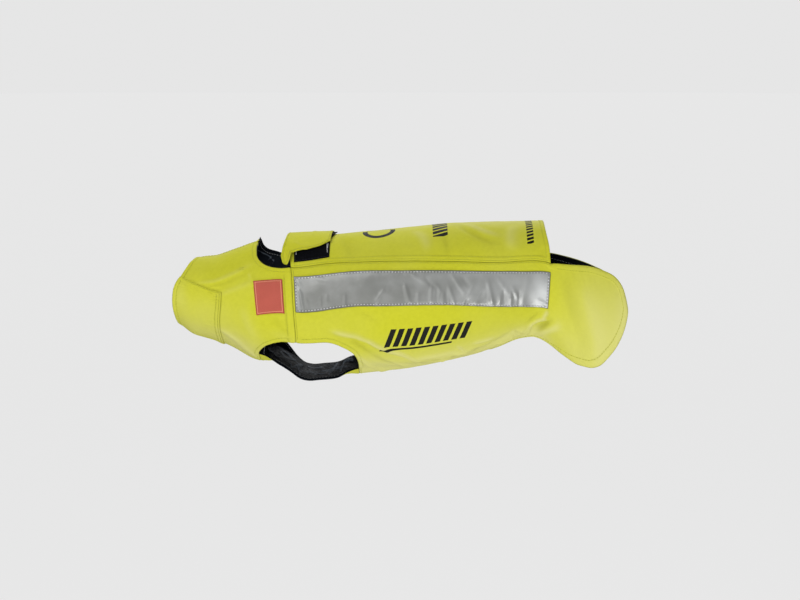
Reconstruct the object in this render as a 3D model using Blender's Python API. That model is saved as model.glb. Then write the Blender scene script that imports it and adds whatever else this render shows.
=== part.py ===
"""Dog protection vest, worn shape with no wearer: cut and sewn cloth panels around a hollow trunk.

+X points to the tail, +Z up, the left flank is on -Y. The origin lies on the inside of the back panel, on the
midline, where the wearer's back holds the vest up.

Every panel is drawn flat, as a pattern piece, in two coordinates: x along the dog in millimetres, and turn,
the angle round the trunk in degrees (0 on the spine, 90 on the flank, 180 on the belly). A panel's outline is
filled with an even lattice of points, which the trunk's form then carries into its worn place. Left and right
panels are cut from one pattern, and what lies on a panel is made from that panel's own points.
"""

import bmesh
import bpy
import numpy as np
from mathutils.geometry import delaunay_2d_cdt

# Driving sizes, in millimetres
MM = 0.001
WALL = 1.4                # outer cloth
LINING = 1.0
GAP = 0.3                 # at a seam, and between a panel and what is sewn on it
TAPE = 1.0                # reflective tape
BADGE = 1.2
GUARD = 1.4               # throat guard
PATCH = 1.0               # hook and loop patches
TAB_ROOT = 0.9            # underside of the closing tab over the back panel, at its sewn end
TAB_LIFT = 3.7            # and where it lies on the patch
HOOK_LIFT = 2.0           # underside of the hook patch
TAB_RISE_TURN = (-48, -18)
TAB_DROOP = 8.0           # fall of the tab's free corner into the withers opening
TAB_DROOP_X = (-148, -162)
TAB_DROOP_TURN = (26, 48)
STRAP_HALF = 45.0         # half the width of the chest strap
STRAP_FRONT = -194.0
STRAP_REAR = -56.5
STRAP_SAG = 5.0           # fall of the strap's middle below its edges
STRAP_BLEND = 28.0        # length over which its ends take the trunk's section
STRAP_RISE = 1.4          # slope of its flared edge
RIGHT_DROP = 7.0          # how much lower the right flank guard hangs than the left one
RIGHT_DROP_X = (212, 270)

SPACING = 15.5            # between the points of a large panel
SPACING_SMALL = 12.0      # and of the strap, the tab and the patches
DEGREE = 1.55             # cloth in one degree of turn
SHARP = np.radians(50)    # a cloth's cut edge stays crisp

# Sections of the worn trunk. Behind the back panel's end they only carry the flank guards.
SECTIONS = (
    # x, top, bottom, half width
    (-329, -53.5, -114.0, 42),
    (-308, -45.5, -127.0, 45),
    (-287, -39.0, -143.5, 50),
    (-272, -36.7, -148.5, 53),
    (-255, -35.0, -154.0, 57),
    (-231, -26.5, -165.5, 64),
    (-202, -16.5, -181.5, 73),
    (-182, -13.0, -185.0, 77),
    (-161, -9.5, -192.0, 80),
    (-140, -8.0, -206.5, 83),
    (-112, -6.8, -210.5, 86),
    (-84, -5.0, -206.5, 88),
    (-56, -2.3, -201.0, 88),
    (-28, 0.3, -198.5, 88),
    (0, 2.7, -195.5, 87),
    (35, 6.5, -190.0, 85),
    (70, 9.7, -182.0, 81),
    (112, 12.0, -171.5, 75),
    (140, 12.5, -162.0, 70),
    (168, 13.2, -153.5, 64),
    (189, 13.5, -152.8, 60),
    (210, 13.0, -168.5, 59),
    (231, 11.0, -201.0, 60),
    (252, 6.5, -237.0, 61),
    (280, -0.5, -271.0, 62),
    (308, -9.0, -296.5, 62),
    (336, -19.0, -313.5, 61),
)

# Height of the chest strap's edges, and the extra width of its right edge, flared by the right leg
STRAP_EDGES = (
    # x, height, flare
    (-194, -167.0, 0.0),
    (-184, -172.0, 6.0),
    (-172, -177.0, 9.5),
    (-160, -183.5, 5.5),
    (-150, -190.0, 1.5),
    (-138, -199.0, 0.0),
    (-126, -202.5, 0.0),
    (-110, -201.5, 0.0),
    (-85, -198.0, 0.0),
    (-73, -192.5, 0.0),
    (-56.5, -187.0, 0.0),
)

# Largest folds: a ridge, or a trough where the height is less than 0, along a line through its middle.
FOLDS = (
    # x, turn, heading from +X towards the belly, half length, half width, left height, right height
    (200, 124, 128, 46, 11, -4.5, -3.6),
    (216, 112, 122, 40, 10, 2.6, 2.2),
    (180, 134, 140, 40, 10, 2.4, 2.8),
    (150, 141, 158, 44, 9, -2.4, -2.0),
    (20, 142, 12, 60, 10, 2.6, 1.8),
    (-8, 156, 8, 62, 10, -2.6, -2.2),
    (-70, 106, 33, 60, 11, 2.2, 2.4),
    (86, 146, 166, 52, 9, 2.0, 2.6),
)

# Pattern lines as points (x, turn)
NAPE = ((-284.5, 0), (-197, 0))
RIM_ABOVE = ((-284.5, 0), (-286.5, 8), (-290.5, 19), (-295.5, 35), (-301.5, 50.5))
RIM_BELOW = ((-301.5, 50.5), (-306, 60.5), (-309.5, 72.5), (-311, 86.5), (-311.5, 103.5), (-310.5, 125),
             (-308.5, 150), (-308.5, 180))
GUARD_TOP = ((-301.5, 50.5), (-286, 59.5), (-270.5, 66.5), (-259, 70), (-242, 73.5))
GUARD_REAR = ((-242, 73.5), (-243, 87), (-245.5, 109.5), (-244.5, 144.5), (-244.5, 180))
GUARD_CENTRE = ((-308.5, 180), (-244.5, 180))
CHEST_CENTRE = ((-244.5, 180), (STRAP_FRONT, 180))
OPENING = ((-197, 0), (-197, 8), (-196.5, 24.5), (-193.5, 37), (-187, 44), (-176, 49), (-162, 51),
           (-147.5, 49.5))
SHOULDER_TOP = ((-147.5, 49.5), (-146, 57.2))
SHOULDER_TAPE = ((-146, 57.2), (-143.3, 86))
SHOULDER_LOW = ((-143.3, 86), (-141, 108.5), (-141, 111.5))
ARMHOLE_FRONT = ((-193.8, 140), (-189.5, 132.5), (-184, 127.5), (-175, 123), (-164, 119), (-141, 111.5))
ARMHOLE_REAR = ((-141, 111.5), (-119.5, 110), (-95.5, 110.5), (-86, 113), (-77.5, 116.5), (-69, 121),
                (-64, 124.5), (-60, 129.5), (-57, 139))
BACK_FRONT = ((-147.5, 49.5), (-150, 38), (-150, 0))
BACK_SEAM = ((-147.5, 49.5), (-94.5, 46), (-47, 48), (0, 50), (67.5, 56), (135, 62.5), (204.5, 65.5))
BACK_REAR = ((204.5, 65.5), (203.5, 50.5), (200, 31.5), (198.5, 10), (198.5, 0))
FLANK_TOP = ((204.5, 65.5), (217, 62.5), (230, 59), (258, 51.8), (276.5, 50.5), (295, 52), (303, 56),
             (308.5, 63.5), (310.5, 69), (308.5, 76), (304, 83.5), (295, 93.5), (284.5, 102.5), (275.5, 110),
             (265, 116.5), (251.5, 123.5), (240.5, 131), (227, 140), (211.5, 151), (197, 156.5), (180, 158.5),
             (160, 159.5), (146, 165), (136, 172), (132, 180))
BELLY_CENTRE = ((132, 180), (STRAP_REAR, 180))
TAPE_TOP = ((-146, 57.2), (-101.5, 54.5), (-41, 56), (18.5, 59), (79, 65), (139, 71.5), (204, 73.5))
TAPE_END = ((204, 73.5), (201.5, 107))
TAPE_LOW = ((201.5, 107), (152, 105.5), (79, 94), (18.5, 88), (-41, 85), (-89, 83), (-143.3, 86))
BADGE_CORNERS = ((-198, 62.5), (-158.5, 61.5), (-155, 90), (-193.5, 94.5))
LOOP_CORNERS = ((-144.5, 18), (-95, 9), (-95.5, 40), (-143.5, 44.5))
HOOK_CORNERS = ((-143, -2), (-90, -16), (-86.5, -5), (-91, 9), (-98, 20), (-141, 29))
TAB_ROOT_EDGE = ((-150, -48.5), (-92, -48.5))
TAB_REAR = ((-92, -48.5), (-91, -20), (-93, 5), (-94.5, 22.5))
TAB_END = ((-94.5, 22.5), (-108.5, 28.5), (-124, 32), (-138.5, 34), (-146.5, 36.5))
TAB_CORNER = ((-146.5, 36.5), (-149, 44), (-153, 48), (-158.5, 45.5), (-162, 38))
TAB_FRONT = ((-162, 38), (-159, 27.5), (-154.5, -6), (-150, -48.5))

# Colours are linear RGB
YELLOW = (0.60, 0.63, 0.045)
BLACK = (0.008, 0.009, 0.013)
SILVER = (0.32, 0.33, 0.34)
RED = (0.56, 0.10, 0.075)


def through(points, at):
    """Smooth curve through rows whose first column rises: the other columns at the places asked for."""
    rows = np.asarray(points, float)
    known, values = rows[:, 0], rows[:, 1:]
    slopes = np.gradient(values, known, axis=0)
    k = np.clip(np.searchsorted(known, at) - 1, 0, len(known) - 2)
    step = (known[k + 1] - known[k])[:, None]
    t = ((at - known[k])[:, None]) / step
    return (
        (2 * t**3 - 3 * t**2 + 1) * values[k]
        + (t**3 - 2 * t**2 + t) * step * slopes[k]
        + (3 * t**2 - 2 * t**3) * values[k + 1]
        + (t**3 - t**2) * step * slopes[k + 1]
    )


def ramp(value, start, end):
    """0 before start, 1 after end, and a smooth rise between them."""
    t = np.clip((value - start) / (end - start), 0, 1)
    return t * t * (3 - 2 * t)


def trunk(x, turn):
    """Outer face of the worn vest, without its folds."""
    top, bottom, half_width = through(SECTIONS, x).T
    angle = np.radians(turn)
    y = -half_width * np.sin(angle)
    z = (top + bottom) / 2 + (top - bottom) / 2 * np.cos(angle)
    z = z - np.where(turn < 0, RIGHT_DROP, 0) * ramp(x, *RIGHT_DROP_X)
    return np.stack([x, y, z], axis=1)


def strap_turn(x):
    """Turn at which the strap's edge meets the trunk's section at x."""
    half_width = through(SECTIONS, np.array([x]))[0, 2]
    return 180 - np.degrees(np.arcsin(STRAP_HALF / half_width))


def strap(x, y):
    """Outer face of the chest strap, in x and y: nearly flat across, but at its ends the trunk's section."""
    top, bottom, half_width = through(SECTIONS, x).T
    round_z = (top + bottom) / 2 - (top - bottom) / 2 * np.sqrt(1 - (y / half_width) ** 2)
    inner_y = np.clip(y, -STRAP_HALF, STRAP_HALF)
    flat_z = through(STRAP_EDGES, x)[:, 0] - STRAP_SAG * (1 - (inner_y / STRAP_HALF) ** 2)
    flat_z += STRAP_RISE * np.abs(y - inner_y)
    free = ramp(x, STRAP_FRONT, STRAP_FRONT + STRAP_BLEND)
    free *= 1 - ramp(x, STRAP_REAR - STRAP_BLEND, STRAP_REAR)
    return np.stack([x, y, free * flat_z + (1 - free) * round_z], axis=1)


def folds(x, turn):
    """Height of the large folds: each is a soft bell across its line, and fades towards its two ends."""
    height = np.zeros_like(x)
    for fold_x, fold_turn, heading, length, width, left, right in FOLDS:
        along_x = x - fold_x
        along_turn = (np.abs(turn) - fold_turn) * DEGREE
        c, s = np.cos(np.radians(heading)), np.sin(np.radians(heading))
        along = along_x * c + along_turn * s
        across = along_turn * c - along_x * s
        bell = np.exp(-((across / width) ** 2) - (along / length) ** 4)
        height += np.where(turn > 0, left, right) * bell
    return height


def carried(form, a, b, lift):
    """Points of a form at its flat coordinates, moved out along its normal by lift and by the folds."""
    step = 0.5
    along = form(a + step, b) - form(a - step, b)
    round_it = form(a, b + step) - form(a, b - step)
    normal = -np.cross(along, round_it)
    normal /= np.linalg.norm(normal, axis=1)[:, None]
    if form is trunk:
        lift = lift + folds(a, b)
    return form(a, b) + normal * np.broadcast_to(lift, a.shape)[:, None]


def line(points, spacing=SPACING):
    """A pattern line: points at an even spacing along the smooth curve through the ones given."""
    rows = np.asarray(points, float)
    lengths = np.hypot(np.diff(rows[:, 0]), np.diff(rows[:, 1]) * DEGREE)
    at = np.concatenate([[0], np.cumsum(lengths)])
    count = max(2, int(round(at[-1] / spacing)) + 1)
    return through(np.column_stack([at, rows]), np.linspace(0, at[-1], count))


def corners(points, spacing=SPACING):
    """A closed outline with straight edges between its corners."""
    closed = [*points, points[0]]
    return joined(*[line(pair, spacing) for pair in zip(closed[:-1], closed[1:])])


def joined(*lines):
    """Closed outline of pattern lines that follow one another, each ending where the next one starts."""
    return np.concatenate([piece[:-1] for piece in lines])


def mirrored(points):
    return points * (1, -1)


def inside(points, outline):
    """True for each point within a closed outline, by the even-odd rule."""
    x, y = points[:, 0:1], points[:, 1:2]
    x0, y0 = outline.T
    x1, y1 = np.roll(outline, -1, axis=0).T
    spans = (y0 > y) != (y1 > y)
    rise = np.where(y1 == y0, 1, y1 - y0)
    crossed = x < x0 + (y - y0) / rise * (x1 - x0)
    return (spans & crossed).sum(axis=1) % 2 == 1


def distance(points, starts, ends):
    """Distance from each point to the nearest of some straight stretches."""
    run = ends - starts
    offset = points[:, None] - starts
    t = np.clip((offset * run).sum(2) / (run**2).sum(1), 0, 1)
    return np.linalg.norm(offset - t[:, :, None] * run, axis=2).min(axis=1)


def cut(outline, marks=(), spacing=SPACING, degree=DEGREE):
    """Cuts a pattern piece: its points, and triangles whose edges keep to its outline and marks."""
    scale = np.array([1, degree])
    pool, edges = {}, []
    for loop in (outline, *marks):
        names = [pool.setdefault(tuple(np.round(p, 4)), len(pool)) for p in loop * scale]
        edges += list(zip(names, names[1:] + names[:1]))
    drawn = np.array(list(pool))
    low, high = drawn.min(axis=0), drawn.max(axis=0)
    across = np.arange(low[0], high[0], spacing)
    along = np.arange(low[1], high[1], spacing * np.sqrt(3) / 2)
    grid_x, grid_y = np.meshgrid(across, along)
    grid_x[1::2] += spacing / 2
    lattice = np.column_stack([grid_x.ravel(), grid_y.ravel()])
    starts, ends = drawn[[e[0] for e in edges]], drawn[[e[1] for e in edges]]
    kept = inside(lattice, outline * scale) & (distance(lattice, starts, ends) > 0.6 * spacing)
    points = np.concatenate([drawn, lattice[kept]])
    made = delaunay_2d_cdt([tuple(p) for p in points], edges, [list(range(len(outline)))], 1, 1e-5)
    return np.array(made[0]) / scale, np.array(made[2]), scale


def only(piece, outline):
    """The part of a cut piece that a mark encloses, for what is sewn on there."""
    points, triangles, scale = piece
    return points, triangles[inside(points[triangles].mean(axis=1), outline)], scale


def both_sides(piece):
    """A piece that crosses the belly's midline, from its left half: the turn then runs on past 180."""
    points, triangles, scale = piece
    shift = len(points)
    twin = points * (1, -1) + (0, 360)
    on_midline = np.abs(points[:, 1] - 180) < 1e-3
    names = np.where(on_midline, np.arange(shift), np.arange(shift) + shift)
    return np.concatenate([points, twin]), np.concatenate([triangles, names[triangles][:, ::-1]]), scale


def pulled_in(piece, gap=GAP / 2):
    """Moves a piece's edge inwards by half a seam gap, and drops the points that no triangle uses."""
    points, triangles, scale = piece
    used, names = np.unique(triangles, return_inverse=True)
    flat, triangles = points[used] * scale, names.reshape(-1, 3)
    sides = {(a, b) for t in triangles for a, b in zip(t, np.roll(t, -1))}
    rim = np.array([s for s in sides if s[::-1] not in sides])
    run = flat[rim[:, 1]] - flat[rim[:, 0]]
    inward = np.column_stack([-run[:, 1], run[:, 0]]) / np.linalg.norm(run, axis=1)[:, None]
    before, after = np.zeros_like(flat), np.zeros_like(flat)
    before[rim[:, 1]] = inward
    after[rim[:, 0]] = inward
    spread = 1 + (before * after).sum(axis=1)
    flat = flat + gap * (before + after) / spread[:, None]
    return flat / scale, triangles


def material(name, colour, roughness, metallic=0.0):
    made = bpy.data.materials.new(name)
    made.use_nodes = True
    shader = made.node_tree.nodes["Principled BSDF"]
    shader.inputs["Base Color"].default_value = (*colour, 1)
    shader.inputs["Roughness"].default_value = roughness
    shader.inputs["Metallic"].default_value = metallic
    return made


def wall(name, outer, inner, triangles):
    """Closed cloth: the outer sheet, extruded so that each point's copy lands on its own point inside."""
    bm = bmesh.new()
    underside = bm.verts.layers.float_vector.new("underside")
    points = [bm.verts.new(p) for p in outer]
    for point, end in zip(points, inner):
        point[underside] = end
    for triangle in triangles:
        bm.faces.new([points[k] for k in triangle])
    made = bmesh.ops.extrude_face_region(bm, geom=bm.faces[:], use_keep_orig=True)
    for item in made["geom"]:
        if isinstance(item, bmesh.types.BMVert):
            item.co = item[underside]
    bm.verts.layers.float_vector.remove(underside)
    bmesh.ops.recalc_face_normals(bm, faces=bm.faces[:])
    mesh = bpy.data.meshes.new(name)
    bm.to_mesh(mesh)
    bm.free()
    return mesh


def sew(name, piece, lift, thickness, finish, form=trunk, right=False):
    """Makes a cut piece into cloth of some thickness on a form, its underside lifted above that form."""
    points, triangles = pulled_in(piece)
    if right:
        points = mirrored(points)
    a, b = points.T
    under = lift(a, b) if callable(lift) else lift
    outer = carried(form, a, b, under + thickness) * MM
    inner = carried(form, a, b, under) * MM
    mesh = wall(name, outer.tolist(), inner.tolist(), triangles.tolist())
    mesh.materials.append(finish)
    mesh.shade_smooth()
    mesh.set_sharp_from_angle(angle=SHARP)
    cloth = bpy.data.objects.new(name, mesh)
    bpy.context.collection.objects.link(cloth)
    cloth.parent = bpy.data.objects["vest"]


def tab_lift(x, turn):
    """Underside of the closing tab: up from its sewn end onto the patch, its free corner falling inwards."""
    lift = TAB_ROOT + (TAB_LIFT - TAB_ROOT) * ramp(turn, *TAB_RISE_TURN)
    return lift - TAB_DROOP * ramp(x, *TAB_DROOP_X) * ramp(turn, *TAB_DROOP_TURN)


def front_pattern():
    """Neck and shoulder panel with the throat guard and the square patch marked on it."""
    shoulder = (line(SHOULDER_TOP), line(SHOULDER_TAPE), line(SHOULDER_LOW))
    seam_turn = strap_turn(STRAP_FRONT)
    arm_front = line(((STRAP_FRONT, seam_turn), *ARMHOLE_FRONT))
    strap_seam = line(((STRAP_FRONT, 180), (STRAP_FRONT, seam_turn)), SPACING_SMALL)
    front = (line(RIM_ABOVE), line(RIM_BELOW), line(GUARD_CENTRE), line(CHEST_CENTRE), strap_seam, arm_front)
    rear = [piece[::-1] for piece in (*shoulder[::-1], line(OPENING), line(NAPE))]
    guard = joined(line(RIM_BELOW), line(GUARD_CENTRE), line(GUARD_REAR)[::-1], line(GUARD_TOP)[::-1])
    badge = corners(BADGE_CORNERS)
    return cut(joined(*front, *rear), (guard, badge)), guard, badge


def body_pattern():
    """Side, belly and flank guard in one panel, with the tape marked on it."""
    shoulder = (line(SHOULDER_TOP), line(SHOULDER_TAPE), line(SHOULDER_LOW))
    seam_turn = strap_turn(STRAP_REAR)
    arm_rear = line((*ARMHOLE_REAR, (STRAP_REAR, seam_turn)))
    strap_seam = line(((STRAP_REAR, seam_turn), (STRAP_REAR, 180)), SPACING_SMALL)
    outline = joined(*shoulder, arm_rear, strap_seam, line(BELLY_CENTRE)[::-1], line(FLANK_TOP)[::-1],
                     line(BACK_SEAM)[::-1])
    tape = joined(line(SHOULDER_TAPE), line(TAPE_LOW)[::-1], line(TAPE_END)[::-1], line(TAPE_TOP)[::-1])
    return cut(outline, (tape,)), tape


def back_pattern():
    """Back panel from seam to seam, with the loop patch marked on it."""
    left = (line(BACK_FRONT)[::-1], line(BACK_SEAM), line(BACK_REAR))
    right = [mirrored(piece[::-1]) for piece in left[::-1]]
    patch = corners(LOOP_CORNERS, SPACING_SMALL)
    return cut(joined(*left, *right), (patch,)), patch


def strap_pattern():
    """Chest strap in x and y, its two ends on the points of the panels that it joins."""
    ends = []
    for x in (STRAP_FRONT, STRAP_REAR):
        half_width = through(SECTIONS, np.array([x]))[0, 2]
        turns = line(((x, strap_turn(x)), (x, 180)), SPACING_SMALL)[:, 1]
        y = -half_width * np.sin(np.radians(turns))
        ends.append(np.column_stack([np.full(2 * len(y) - 1, x), [*y, *-y[-2::-1]]]))
    edge = np.linspace(STRAP_FRONT, STRAP_REAR, 12)
    left = np.column_stack([edge, np.full(len(edge), -STRAP_HALF)])
    right = np.column_stack([edge, STRAP_HALF + through(STRAP_EDGES, edge)[:, 1]])
    outline = joined(ends[0][::-1], left, ends[1], right[::-1])
    return cut(outline, spacing=SPACING_SMALL, degree=1.0)


def tab_pattern():
    """Closing tab, drawn from its sewn end round its rear edge, free end and rounded corner."""
    lines = (TAB_ROOT_EDGE, TAB_REAR, TAB_END, TAB_CORNER, TAB_FRONT)
    return cut(joined(*[line(piece, SPACING_SMALL) for piece in lines]), spacing=SPACING_SMALL)


def build():
    for old in list(bpy.data.objects):
        bpy.data.objects.remove(old, do_unlink=True)
    vest = bpy.data.objects.new("vest", None)
    bpy.context.collection.objects.link(vest)

    yellow = material("fluorescent yellow cloth", YELLOW, 0.8)
    black = material("black lining", BLACK, 0.45)
    fuzzy = material("black hook and loop", BLACK, 0.95)
    silver = material("reflective tape", SILVER, 0.35, 0.3)
    red = material("red patch", RED, 0.75)

    front, guard, badge = front_pattern()
    body, tape = body_pattern()
    back, patch = back_pattern()
    chest = strap_pattern()
    lining = -WALL - GAP - LINING

    for side, right in (("left", False), ("right", True)):
        sew(f"front_{side}", front, -WALL, WALL, yellow, right=right)
        sew(f"body_{side}", body, -WALL, WALL, yellow, right=right)
        sew(f"lining_front_{side}", front, lining, LINING, black, right=right)
        sew(f"lining_body_{side}", body, lining, LINING, black, right=right)
        sew(f"tape_{side}", only(body, tape), GAP, TAPE, silver, right=right)

    sew("back_panel", back, -WALL, WALL, yellow)
    sew("lining_back", back, lining, LINING, black)
    sew("chest_strap", chest, -WALL, WALL, yellow, form=strap)
    sew("lining_strap", chest, lining, LINING, black, form=strap)
    sew("throat_guard", both_sides(only(front, guard)), GAP, GUARD, yellow)
    sew("badge", only(front, badge), GAP, BADGE, red)
    sew("loop_patch", only(back, patch), GAP, PATCH, fuzzy)
    hook = cut(corners(HOOK_CORNERS, SPACING_SMALL), spacing=SPACING_SMALL)
    sew("hook_patch", hook, HOOK_LIFT, PATCH, fuzzy)
    sew("closure_tab", tab_pattern(), tab_lift, WALL, yellow)


build()
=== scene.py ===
import math

import bpy
import numpy as np
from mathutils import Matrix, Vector
from mathutils.geometry import delaunay_2d_cdt


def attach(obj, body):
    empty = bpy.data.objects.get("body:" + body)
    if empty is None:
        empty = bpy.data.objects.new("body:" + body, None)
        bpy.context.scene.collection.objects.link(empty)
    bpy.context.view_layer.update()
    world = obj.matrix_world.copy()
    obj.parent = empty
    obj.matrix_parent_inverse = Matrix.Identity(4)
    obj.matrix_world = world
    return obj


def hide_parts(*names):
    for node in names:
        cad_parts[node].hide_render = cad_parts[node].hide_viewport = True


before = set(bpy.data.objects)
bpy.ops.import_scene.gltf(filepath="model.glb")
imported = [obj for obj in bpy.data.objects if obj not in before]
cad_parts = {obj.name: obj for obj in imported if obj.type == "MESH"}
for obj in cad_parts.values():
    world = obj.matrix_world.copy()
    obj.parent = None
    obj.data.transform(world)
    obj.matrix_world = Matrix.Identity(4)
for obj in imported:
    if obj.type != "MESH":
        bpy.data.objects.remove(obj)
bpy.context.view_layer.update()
print("frame loaded,", len(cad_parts), "nodes")

# The worn form, in millimetres: x runs along the back, turn is the angle round the trunk in degrees,
# 0 on the spine, 90 on the left flank and 180 on the belly
worn = {
    "degree": 1.55,  # cloth in one degree of turn
    "crease": 2.1,  # how strong the creases stand
    "wall": 1.4,
    "lining": 1.0,
    "gap": 0.3,  # at a seam, and between two layers
    "rightDrop": (8.5, 212, 282),  # how much lower the right flank guard hangs, and from which x to which
    "strap": {"half": 45.0, "front": -194.0, "rear": -56.5, "sag": 5.0, "blend": 28.0, "slope": 1.4},
    # x, top, bottom, half width
    "sections": (
        (-329, -53.5, -114, 42), (-308, -45.5, -127, 45), (-287, -39, -143.5, 50),
        (-272, -36.7, -148.5, 53), (-255, -35, -154, 57), (-231, -26.5, -165.5, 64),
        (-202, -16.5, -181.5, 73), (-182, -13, -185, 77), (-161, -9.5, -192, 80), (-140, -8, -206.5, 83),
        (-112, -6.8, -210.5, 86), (-84, -5, -206.5, 88), (-56, -2.3, -201, 88), (-28, 0.3, -198.5, 88),
        (0, 2.7, -195.5, 87), (35, 6.5, -190, 85), (70, 9.7, -182, 81), (112, 12, -171.5, 75),
        (140, 12.5, -162, 70), (168, 13.2, -153.5, 64), (189, 13.5, -152.8, 60), (210, 13, -168.5, 59),
        (231, 11, -201, 60), (252, 6.5, -237, 61), (280, -0.5, -271, 62), (308, -9, -296.5, 62),
        (336, -19, -313.5, 61),
    ),
    # x, height of the strap's edges, extra width of its right edge
    "strapEdges": (
        (-194, -167, 0), (-184, -172, 6), (-172, -177, 9.5), (-160, -183.5, 5.5), (-150, -190, 1.5),
        (-138, -199, 0), (-126, -202.5, 0), (-110, -201.5, 0), (-85, -198, 0), (-73, -192.5, 0),
        (-56.5, -187, 0),
    ),
}

# Folds: x, turn, heading from +X towards the belly, half length, half width, bend, left height, right height
folds = (
    (200, 124, 128, 46, 11, 0, -4.5, -3.6), (216, 112, 122, 40, 10, 0, 2.6, 2.2),
    (180, 134, 140, 40, 10, 0, 2.4, 2.8), (150, 141, 158, 44, 9, 0, -2.4, -2),
    (20, 142, 12, 60, 10, 0, 2.6, 1.8), (-8, 156, 8, 62, 10, 0, -2.6, -2.2),
    (-70, 106, 33, 60, 11, 0, 2.2, 2.4), (86, 146, 166, 52, 9, 0, 2, 2.6),
)
creases = (
    # neck and shoulder
    (-239, 56, -20, 36, 4.5, 3, 0.35, 0), (-236, 61, -19, 30, 4, 3, -0.3, 0),
    (-222, 70, -25, 26, 4.5, 0, 0.25, 0), (-220, 136, 41, 34, 6, -4, 0.7, 0.8),
    (-163, 103, 52, 15, 5, 0, -0.4, 0), (-207, 104, 70, 24, 7, 3, 0.25, -0.4),
    (-198, 56, 118, 9, 2.6, 2, -0.3, 0), (-203, 58, 70, 7, 2.2, 0, 0.25, 0),
    # belly
    (-72, 105, 20, 19, 3, 0, 1.12, 0), (-54, 118, 45, 17, 3.4, 0, -0.96, 0),
    (-43, 92, 32, 13, 3, 0, -0.48, 0), (-47, 112, 25, 12, 2.4, 0, 0.96, 0),
    (-28, 120, 35, 17, 2.4, 0, 1.44, 0), (-8, 128, 28, 14, 2.6, 0, 1.12, 0),
    (12, 136, 41, 20, 2.4, 0, 1.12, 0), (-39, 148, 59, 34, 2.8, 0, 1.44, 0),
    (-24, 136, 39, 20, 3, 0, -0.96, 0), (7, 150, 42, 22, 2.4, 0, 0.96, 0),
    (85, 141, 55, 11, 2, 0, 1.12, 0), (82, 146, 5, 10, 2, 0, 0.96, 0),
    (50, 141, 7, 25, 3, 0, 0.96, 0), (49, 148, 3, 18, 2.4, 0, -0.96, 0),
    (114, 136, 2, 14, 3, 0, 0.8, 0),
    # waist
    (198, 116, 109, 9, 2.4, 0, 1.12, 0), (188, 126, 134, 15, 2.6, 3, 1.6, 0),
    (178, 138, 98, 11, 2.4, 0, 1.6, 0), (175, 148, 109, 10, 2.2, 0, 1.28, 0),
    (196, 130, 115, 22, 3.4, 2, -1.44, 0), (204, 132, -62, 30, 4, 0, 0.8, 0),
    (162, 142, -131, 11, 2.2, 0, 1.28, 0), (154, 143, 102, 10, 2.2, 0, 1.12, 0),
    (145, 151, 153, 11, 2.4, 0, 1.28, 0), (159, 152, 160, 5, 2, 0, -1.12, 0),
    (182, 122, 128, 12, 2.4, 0, -0.8, 0), (132, 146, 160, 13, 2.4, 0, -0.8, 0),
    # bunched lower edge
    (4, 155, 75, 12, 5, 0, 0.9, 0), (26, 153, 100, 11, 5, 0, -0.8, 0),
    (58, 153, 80, 11, 4.5, 0, 0.8, 0), (72, 152, 95, 9, 4.5, 0, -0.8, 0),
    (92, 150, 70, 9, 4, 0, 0.7, 0), (105, 149, 100, 8, 4, 0, -0.6, 0),
    # flank guard
    (232, 84, 79, 30, 12, 6, -0.5, -0.4), (268, 92, 70, 40, 15, -8, 0.3, 0.4),
    (250, 112, 100, 24, 8, 3, -0.3, -0.5),
    # back
    (100, 29, 44, 32, 5, 5, -0.8, 0), (108, 23, 42, 28, 5, 5, 0.7, 0),
    (63, 36, 81, 16, 5, 0, -0.6, 0), (30, 27, 64, 22, 7, -3, 0.6, 0),
    (-70, 30, 74, 24, 8, 2, -0.5, 0), (150, 33, 96, 24, 8, 3, 0.6, 0),
    # hidden right side
    (-237, 60, -14, 32, 5, 2, 0, 0.9), (-214, 78, -32, 24, 4, 0, 0, -0.7),
    (-226, 142, 36, 28, 5, 3, 0, 0.9), (-172, 98, 62, 20, 5, 0, 0, 0.6),
    (-80, 102, 24, 30, 4, -3, 0, 1), (-44, 116, 47, 24, 4, 2, 0, 1.1),
    (-58, 121, 40, 18, 4, 0, 0, -0.8), (0, 131, 16, 34, 4.6, 4, 0, 1),
    (-30, 146, 44, 26, 4.4, 0, 0, -0.9), (52, 141, 8, 40, 4, -3, 0, 0.9),
    (30, 152, 24, 30, 3.8, 0, 0, -0.7), (104, 145, -8, 30, 3.6, 2, 0, 0.8),
    (186, 130, -64, 34, 4, 4, 0, 1.5), (200, 120, -60, 26, 4.2, 3, 0, -1.3),
    (150, 144, -30, 14, 2.8, 0, 0, 0.7), (76, 150, 48, 13, 3, 0, 0, -0.6),
    (-20, 98, 20, 18, 3.4, 0, 0, -0.5), (88, 31, 52, 26, 5, -4, 0, -0.9),
    (12, 33, 70, 22, 6, 2, 0, 0.7), (-54, 26, 62, 20, 6, 2, 0, -0.6),
    (140, 27, 84, 26, 7, -2, 0, 0.6),
    # the withers opening's far edge stands up
    (-193, 15, 90, 9, 6, 0, 0, 2.3), (-184, 34, 62, 28, 13, 0, 0, 3.9),
    (-196, 6, 90, 7, 5, 0, -1.2, 0),
)
strapFolds = (  # x, y, heading from +X towards +Y, half length, half width, bend, height
    (-172, 10, 62, 40, 4, 4, 0.9), (-158, -14, 74, 30, 3.6, -3, -0.7), (-141, 6, 80, 34, 4.2, 3, 1),
    (-126, -8, 100, 30, 3.4, 2, -0.8), (-112, 14, 68, 26, 3.2, -2, 0.9), (-97, -4, 112, 34, 4, 4, 0.8),
    (-84, 12, 60, 22, 3, 0, -0.9), (-72, -6, 84, 30, 3.6, 3, 0.7),
)


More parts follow.
